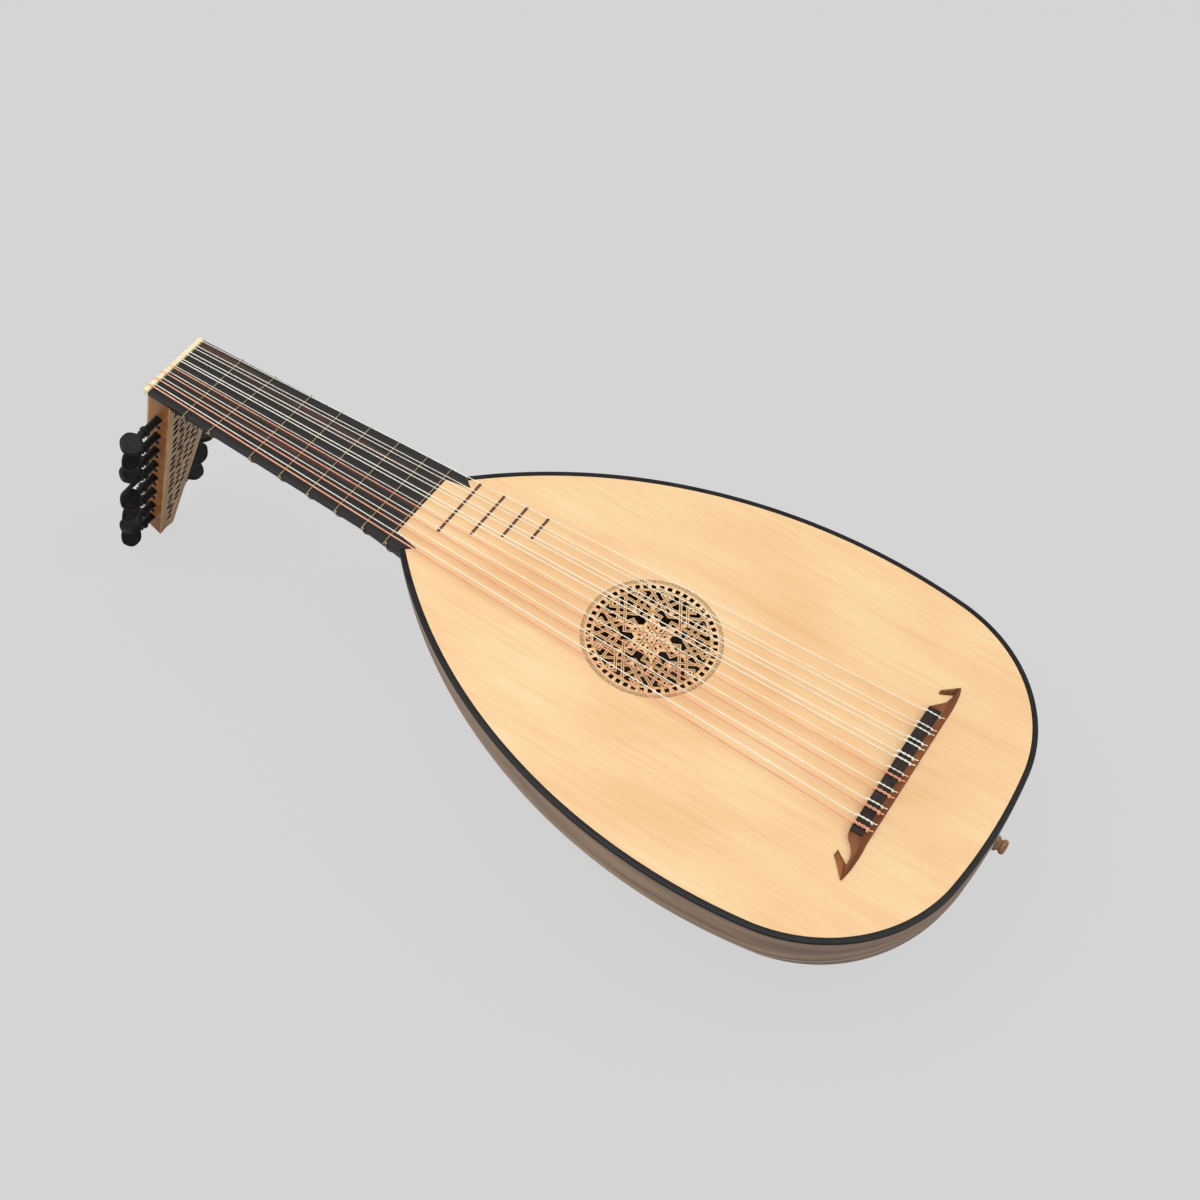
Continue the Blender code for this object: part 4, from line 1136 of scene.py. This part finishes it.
def leaf(down, y, turn, length, width, bend):
    """One pointed leaf opening with a bent middle line, in millimetres."""
    points = []
    for side in (1, -1):
        for k in range(8):
            share = k / 8 if side > 0 else 1 - k / 8
            along = (share - 0.5) * length
            middle = bend * (1 - 4 * (share - 0.5) ** 2)
            points.append((along, middle + side * width / 2 * sin(pi * share) ** 0.75))
    angle = radians(turn)
    return [(down + a * cos(angle) - b * sin(angle), y + a * sin(angle) + b * cos(angle)) for a, b in points]


# Leaf openings, in millimetres: steps down and across the plate, length and width, and least wood between
LEAF_STEPS = (8.5, 7.0)
LEAF_SIZE = (7.3, 5.0)
LEAF_TURN = -48.0
LEAF_GAP = 0.7
LEAF_BORDER = 1.2


def leaf_openings(start, end, half_at):
    """Slanting leaves in staggered rows down the plate, smaller where a whole one does not fit."""
    kept = []
    for row in range(int((end - start) / LEAF_STEPS[0] * 2)):
        level = start + (row + 0.5) * LEAF_STEPS[0] / 2
        room = 2 * (half_at(level) - LEAF_BORDER)
        places = max(1, int(room / LEAF_STEPS[1]))
        for k in range(places):
            if (k + places + row) % 2:
                continue
            down = level + chance.uniform(-0.5, 0.5)
            y = (k - (places - 1) / 2) * room / places + chance.uniform(-0.4, 0.4)
            turn = LEAF_TURN + chance.uniform(-9.0, 9.0)
            bend = chance.uniform(-0.5, 0.5)
            full = chance.uniform(0.92, 1.08)
            near = [other for place, other in kept if hypot(place[0] - down, place[1] - y) < 11.0]
            for share in (1.0, 0.85, 0.7, 0.55):
                size = full * share
                spot = leaf(down, y, turn, LEAF_SIZE[0] * size, LEAF_SIZE[1] * size, bend)
                if any(not start < a < end or abs(b) > half_at(a) - LEAF_BORDER for a, b in spot):
                    continue
                if all(hypot(a - c, b - d) > LEAF_GAP for other in near for a, b in spot for c, d in other):
                    kept.append(((down, y), spot))
                    break
    return [spot for _, spot in kept]


def make_back_plate():
    """Back of the pegbox, pierced with slanting leaves, and its end block."""
    end = PEGBOX_LENGTH - 0.0010

    def plate_half(down):
        return pegbox_half(down) - CHEEK_THICKNESS - SEAT_GAP / 2

    edge = millimetres([
        (PLATE_START, -plate_half(PLATE_START)), (end, -plate_half(end)), (end, plate_half(end)),
        (PLATE_START, plate_half(PLATE_START)),
    ])
    holes = leaf_openings(PLATE_START / MM + 1.8, 206.0, lambda down: plate_half(down * MM) / MM)

    def place(point):
        return pegbox_point(point.x * MM, point.z * MM, point.y * MM)

    data = moved(filled([edge, *holes], 0.0, PLATE_THICKNESS / MM, 0.22), place)
    # The leaves' walls get painted shade and their bevels a painted highlight
    thing = shown("back_plate_pierced", data, PLATE, more=(PLATE_CUT_SHADE, PLATE_EDGE_HIGHLIGHT))
    paint_cut_shade(thing, FRONT)
    dress(thing, "plate_wood", "pegbox_back_plate")
    mesh = bmesh.new()
    start = PEGBOX_LENGTH - CHEEK_END_SLANT - 0.0070
    front = CHEEK_TIP_DEPTH - 0.0010
    rings = []
    for side in (-1, 1):
        ring = []
        for down, depth in ((start, 0.003), (start, front), (end - CHEEK_END_SLANT, front), (end, 0.003)):
            ring.append(pegbox_point(down, depth, side * plate_half(down)))
        rings.append(ring)
    add_loft(mesh, rings)
    dress(rounded(finished("pegbox_end_block", mesh, PLATE), 0.0004), "plate_wood", "pegbox_back_plate")


# Peg beyond its cheek: distance out, half-width, half-thickness, in millimetres
PEG_TURNING = (
    (0.0, 3.1, 3.1), (11.7, 3.1, 3.1), (11.9, 3.5, 3.5), (12.2, 4.15, 4.15), (12.6, 4.3, 4.3), (14.2, 4.3, 4.3),
    (14.6, 4.2, 4.2), (15.0, 3.5, 3.5), (15.4, 2.6, 2.6), (16.8, 2.5, 2.5), (17.1, 3.2, 3.2), (17.4, 3.6, 3.6),
    (17.7, 3.4, 3.4), (18.2, 2.6, 2.6), (19.0, 2.4, 2.4), (20.0, 3.3, 2.6), (21.2, 5.0, 2.75), (22.6, 6.7, 2.8),
    (24.0, 8.0, 2.75), (25.8, 8.65, 2.65), (27.8, 8.8, 2.5), (29.8, 8.75, 2.3), (31.8, 8.4, 2.1), (33.5, 7.5, 1.9),
    (35.0, 6.2, 1.7), (36.2, 4.7, 1.45), (37.2, 3.0, 1.2), (37.8, 1.5, 0.95), (38.0, 0.7, 0.6),
)


def make_peg(number, down, side, turn, reach):
    """Turned peg with a flat head, dished on both faces inside a raised rim."""
    count = 32
    centre = pegbox_point(down, PEG_DEPTH, 0.0)
    wide_way = UP * cos(radians(turn)) + FRONT * sin(radians(turn))
    thin_way = FRONT * cos(radians(turn)) - UP * sin(radians(turn))
    half = pegbox_half(down)
    sections = [
        (-half - 0.00025, PEG_THIN - 0.0004, PEG_THIN - 0.0004), (-half, PEG_THIN, PEG_THIN), (half, PEG_THICK, PEG_THICK),
    ]
    sections += [(half + reach + out * MM, wide * MM, thin * MM) for out, wide, thin in PEG_TURNING[1:]]
    rings = []
    for out, wide, thin in sections:
        beyond = (out - half - reach) / MM
        middle = centre + Vector((0.0, side * out, 0.0))
        ring = []
        for k in range(count):
            angle = 2 * pi * k / count
            across, depth = wide * cos(angle), thin * sin(angle)
            if beyond > 19.5:
                spot = hypot((beyond - 28.0) / 8.0, across / 0.0072)
                dish = max(0.0, 1.0 - spot ** 4)
                depth *= 1.0 - 0.42 * dish
                flat = min(1.0, (beyond - 19.5) / 3.0)
                depth += flat * 0.25 * (thin * (1 if depth > 0 else -1) - depth) * (1 - dish) * (abs(sin(angle)) > 0.2)
            ring.append(middle + wide_way * across + thin_way * depth)
        rings.append(ring)
    row = "bass" if side < 0 else "treble"
    mesh = bmesh.new()
    add_loft(mesh, rings)
    name = f"peg_{row}_{number}"
    dress(finished(f"turned_{name}", mesh, PEG_LOOK, 48.0), "peg_wood", name, body=name)


# Where each string reaches its peg, as a share of the room from the middle to the cheek
BASS_WINDINGS = (0.80, 0.80, 0.75, 0.72, 0.65, 0.59, 0.49, 0.38)
TREBLE_WINDINGS = (0.79, 0.76, 0.73, 0.70, 0.66, 0.52, 0.38)
SKEW = Matrix.Translation((BRIDGE_X, 0.0, 0.0)) @ Matrix.Rotation(BRIDGE_SKEW, 4, "Z")


def winding(start, down, side, first_y, radius):
    """Turns of a string round its peg, ending along the peg as if through its hole."""
    pitch = 2 * radius + 0.00030
    around = peg_radius(first_y, down, side) + radius + 0.00004
    centre = pegbox_point(down, PEG_DEPTH, 0.0)
    offset = start - centre
    far = hypot(offset.dot(FRONT), offset.dot(UP))
    angle = atan2(offset.dot(UP), offset.dot(FRONT)) - acos(around / far)
    per_turn = 22
    points = []
    for k in range(int(3.25 * per_turn) + 1):
        y = first_y + side * pitch * k / per_turn
        spin = angle - 2 * pi * k / per_turn
        points.append(centre + FRONT * around * cos(spin) + UP * around * sin(spin) + Vector((0.0, y, 0.0)))
    last = (points[-1] - points[-2]).normalized()
    points.append(points[-1] + last * 2 * radius)
    return points


def make_string(number, bridge_share, nut_share, diameter):
    """One string: knot behind the bridge, two twisted strands over the cap, board, nut and peg."""
    copper = number > 8 and number % 2
    radius = diameter / 2 * (1.0 if copper else 1.06)
    y = bridge_share * BRIDGE_HALF
    nut_y = nut_share * NUT_HALF
    length = BRIDGE_CAP_LENGTH
    twist = radius * 1.2
    lift = BRIDGE_CAP_TOP + radius + twist + 0.00005
    mesh = bmesh.new()
    turns = 1.5
    strands = []
    for phase in (0.0, pi):
        strand = []
        for k in range(33):
            share = k / 32
            x = -0.0004 + (length + 0.0008) * share
            spin = phase + 2 * pi * turns * share
            strand.append(SKEW @ Vector((x, y + twist * cos(spin), lift + twist * sin(spin))))
        strands.append(strand)
    front = SKEW @ Vector((-0.0019, y, BRIDGE_CAP_TOP - 0.0009))
    nut_in = Vector((0.0, nut_y, NUT_TOP + radius + 0.0001))
    nut_mid = Vector((-0.0014, nut_y, NUT_TOP + radius + 0.0001))
    nut_out = Vector((-NUT_LENGTH + 0.0009, nut_y, NUT_TOP - 0.0002))
    if number <= len(TREBLE_PEGS):
        side = 1
        down = PEGBOX_LENGTH * TREBLE_PEGS[number - 1]
        share = TREBLE_WINDINGS[number - 1]
    else:
        side = -1
        down = PEGBOX_LENGTH * BASS_PEGS[len(STRINGS) - number]
        share = BASS_WINDINGS[len(STRINGS) - number]
    first_y = side * share * (pegbox_half(down) - CHEEK_THICKNESS)
    leaving = Vector((-NUT_LENGTH - radius, nut_y, NUT_TOP - 0.0022))
    turns_round = winding(leaving, down, side, first_y, radius)
    board = [front.lerp(nut_in, k / 24) for k in range(25)]
    add_tube(mesh, [strands[0][2], *board, nut_mid, nut_out, leaving, *turns_round], radius, 10)
    for strand in strands:
        add_tube(mesh, strand, radius, 8)
    for x, tall in ((-0.0011, 0.0017), (length + 0.0009, 0.0016)):
        knot = []
        for k in range(29):
            spin = 2 * pi * 1.6 * k / 28
            reach = twist + radius * 1.15
            knot.append(SKEW @ Vector((
                x + 0.0007 * (k / 28 - 0.5) * 2, y + reach * cos(spin), BRIDGE_CAP_TOP - tall * 0.30 + radius + reach * 0.95 * sin(spin),
            )))
        add_tube(mesh, knot, radius, 8)
    lean = chance.uniform(0.0012, 0.0022)
    tail = []
    for share in (0.1, 0.35, 0.7, 1.0):
        z = BRIDGE_TOP + 0.0011 - 0.0007 * share * share
        tail.append(SKEW @ Vector((length + 0.0004 + 0.0040 * share, y + lean * share, z)))
    add_tube(mesh, [strands[1][-1], *tail], radius, 8)
    look = COPPER if copper else GUT
    name = f"string_{number:02d}"
    dress(finished(f"gut_{name}", mesh, look, 60.0), "copper_gut" if copper else "gut", name)


# Bridge


# Bridge's limbs from the cap outwards, in millimetres: across, near edge, far edge, height
TREBLE_LIMB = (
    (58.3, 0.0, 14.0, 4.9), (60.0, 0.8, 14.0, 4.85), (62.5, 2.6, 14.05, 4.6), (65.4, 5.0, 14.1, 4.2),
    (69.4, 8.0, 14.0, 3.8), (74.5, 9.4, 13.7, 3.3), (79.3, 9.6, 13.2, 3.0), (83.0, 9.9, 12.6, 2.7),
    (86.0, 10.3, 11.9, 2.2), (87.4, 10.6, 11.3, 1.6),
)
BASS_LIMB = (
    (58.3, 0.0, 14.0, 4.9), (60.6, 0.8, 14.1, 4.85), (62.8, 2.6, 14.3, 4.6), (65.2, 5.0, 14.5, 4.2),
    (70.0, 8.3, 14.6, 3.8), (75.5, 9.9, 14.5, 3.4), (80.0, 10.1, 14.3, 3.0), (84.0, 10.6, 13.9, 2.7),
    (88.0, 11.2, 13.3, 2.3), (91.6, 12.0, 12.6, 1.6),
)
# Beaks that turn back from the limbs' ends: inner and outer edge, and height
TREBLE_BEAK = (
    ((11.1, 87.0), (10.6, 87.5), 1.6), ((10.6, 83.5), (8.2, 85.2), 2.3), ((9.6, 79.6), (5.8, 82.9), 2.7),
    ((5.0, 76.9), (2.6, 80.1), 2.7), ((0.4, 74.6), (0.0, 78.0), 2.3),
)
BASS_BEAK = (
    ((12.4, 91.2), (11.9, 91.8), 1.6), ((11.6, 86.5), (9.0, 88.3), 2.3), ((10.1, 80.0), (5.8, 84.2), 2.8),
    ((5.0, 76.3), (2.6, 80.6), 2.8), ((0.4, 73.0), (0.0, 78.0), 2.4),
)


def make_bridge():
    """Bar under the cap, and at each end a tapering arm that turns back in a leaf."""
    mesh = bmesh.new()
    rows = [(-y, near, far, tall) for y, near, far, tall in reversed(BASS_LIMB)] + list(TREBLE_LIMB)
    rings = []
    for y, near, far, tall in rows:
        wide = far - near
        share = 9.2 / 14.0 if abs(y) < 60 else max(0.30, 9.2 / 14.0 - (abs(y) - 60) * 0.02)
        top = near + wide * share
        ring = [
            (near, 0.3), (near, tall - 0.5), (near + min(0.5, wide * 0.2), tall), (top, tall),
            (far - 0.4, 0.3 + (tall - 0.3) * 0.12 + 0.35), (far, 0.55), (far, 0.3),
        ]
        rings.append([SKEW @ Vector((x * MM, y * MM, z * MM)) for x, z in ring])
    add_loft(mesh, rings)
    for side, beak in ((-1, BASS_BEAK), (1, TREBLE_BEAK)):
        rings = []
        for inner, outer, tall in beak:
            ring = []
            for share, z in ((0.0, 0.3), (0.0, 0.9), (0.45, tall), (1.0, 1.1), (1.0, 0.3)):
                place = Vector(inner).lerp(Vector(outer), share)
                ring.append(SKEW @ Vector((place.x * MM, side * place.y * MM, z * MM)))
            rings.append(ring)
        add_loft(mesh, rings)
    dress(rounded(finished("bridge_wood", mesh, BRIDGE_WOOD, 30.0), 0.0002, 2), "bridge_wood", "bridge")
    mesh = bmesh.new()
    length = BRIDGE_CAP_LENGTH
    low = BRIDGE_TOP + 0.00002
    rings = []
    for y in (-BRIDGE_HALF, BRIDGE_HALF):
        rings.append([
            SKEW @ Vector((x, y, z))
            for x, z in ((0.0, low), (0.0, BRIDGE_CAP_TOP), (length, BRIDGE_CAP_TOP), (length, low))
        ])
    add_loft(mesh, rings)
    dress(rounded(finished("tie_cap", mesh, CAP_WOOD), 0.00045), "ebony", "bridge_tie_cap")


def make_button():
    """Turned button: rounded foot, waist and a broad cap with a slightly domed end."""
    profile = (
        (0.0, 0.0), (0.0, 5.6), (0.5, 5.55), (1.0, 5.4), (1.5, 5.15), (2.0, 4.85), (2.5, 4.4), (2.9, 3.95), (3.2, 3.75),
        (3.5, 3.75), (3.9, 4.2), (4.3, 4.7), (4.8, 5.05), (5.4, 5.25), (6.2, 5.3), (6.8, 5.2), (7.4, 4.8), (7.8, 4.3),
        (8.1, 3.4), (8.25, 2.3), (8.35, 0.0),
    )
    count = 40
    rings = []
    base = Vector((TAIL_X + EDGE_WIDTH + SEAT_GAP, 0.0, -0.0115))
    for out, radius in profile[1:-1]:
        ring = []
        for k in range(count):
            angle = 2 * pi * k / count
            ring.append(base + Vector((out, radius * cos(angle), radius * sin(angle))) * MM)
        rings.append(ring)
    mesh = bmesh.new()
    rows = [[mesh.verts.new(point) for point in ring] for ring in rings]
    for low, high in zip(rows, rows[1:]):
        for k, corner in enumerate(low):
            nxt = (k + 1) % count
            mesh.faces.new((corner, low[nxt], high[nxt], high[k]))
    mesh.faces.new(list(reversed(rows[0])))
    tip = mesh.verts.new(base + Vector((profile[-1][0], 0.0, 0.0)) * MM)
    for k, corner in enumerate(rows[-1]):
        mesh.faces.new((corner, rows[-1][(k + 1) % count], tip))
    dress(finished("turned_button", mesh, BUTTON_WOOD, 40.0), "button_wood", "strap_button")


# Floor and light


def add_floor():
    shade = bpy.data.materials.new("floor")
    shade.use_nodes = True
    tree = shade.node_tree
    shader = tree.nodes["Principled BSDF"]
    shader.inputs["Base Color"].default_value = (0.45, 0.45, 0.45, 1.0)
    shader.inputs["Roughness"].default_value = 0.95
    shader.inputs["Specular IOR Level"].default_value = 0.0
    glow = tree.nodes.new("ShaderNodeEmission")
    glow.inputs["Color"].default_value = (0.69, 0.69, 0.69, 1.0)
    rays = tree.nodes.new("ShaderNodeLightPath")
    share = tree.nodes.new("ShaderNodeMath")
    share.operation = "MULTIPLY"
    share.inputs[1].default_value = 0.88
    blend = tree.nodes.new("ShaderNodeMixShader")
    tree.links.new(rays.outputs["Is Camera Ray"], share.inputs[0])
    tree.links.new(share.outputs["Value"], blend.inputs["Fac"])
    tree.links.new(shader.outputs["BSDF"], blend.inputs[1])
    tree.links.new(glow.outputs["Emission"], blend.inputs[2])
    tree.links.new(blend.outputs["Shader"], tree.nodes["Material Output"].inputs["Surface"])
    mesh = bmesh.new()
    bmesh.ops.create_grid(mesh, x_segments=1, y_segments=1, size=8.0)
    data = bpy.data.meshes.new("floor")
    mesh.to_mesh(data)
    mesh.free()
    data.materials.append(shade)
    floor = bpy.data.objects.new("floor", data)
    scene.collection.objects.link(floor)


def add_lamp(name, place, size, power):
    data = bpy.data.lights.new(name, "AREA")
    data.size = size
    data.energy = power
    lamp = bpy.data.objects.new(name, data)
    lamp.location = place
    lamp.rotation_euler = (Vector((0.0, 0.0, 0.1)) - Vector(place)).to_track_quat("-Z", "Y").to_euler()
    scene.collection.objects.link(lamp)


def add_light():
    world = bpy.data.worlds.new("studio")
    scene.world = world
    world.use_nodes = True
    tree = world.node_tree
    plain = tree.nodes["Background"]
    plain.inputs["Color"].default_value = (1.0, 1.0, 1.0, 1.0)
    plain.inputs["Strength"].default_value = 0.55
    seen = tree.nodes.new("ShaderNodeBackground")
    seen.inputs["Color"].default_value = (0.662, 0.662, 0.662, 1.0)
    rays = tree.nodes.new("ShaderNodeLightPath")
    blend = tree.nodes.new("ShaderNodeMixShader")
    tree.links.new(rays.outputs["Is Camera Ray"], blend.inputs["Fac"])
    tree.links.new(plain.outputs["Background"], blend.inputs[1])
    tree.links.new(seen.outputs["Background"], blend.inputs[2])
    tree.links.new(blend.outputs["Shader"], tree.nodes["World Output"].inputs["Surface"])
    add_lamp("key", (-0.2, -0.65, 2.9), 2.2, 41.0)
    add_lamp("side", (-2.0, -1.4, 0.7), 1.2, 12.0)
    add_lamp("fill", (1.7, 0.9, 2.4), 1.8, 19.0)


add_camera()
nodes["fingerboard"].data.materials.clear()
nodes["fingerboard"].data.materials.append(BOARD)
make_soundboard()
make_rose()
make_ticks()
make_binding()
make_ribs()
make_neck()
make_nut()
make_frets()
for cheek_side in (-1, 1):
    make_cheek(cheek_side)
make_back_plate()
for row in peg_rows():
    make_peg(*row)
for index, row in enumerate(STRINGS):
    make_string(index + 1, *row)
make_bridge()
make_button()
add_floor()
add_light()
scene.view_settings.view_transform = "Standard"
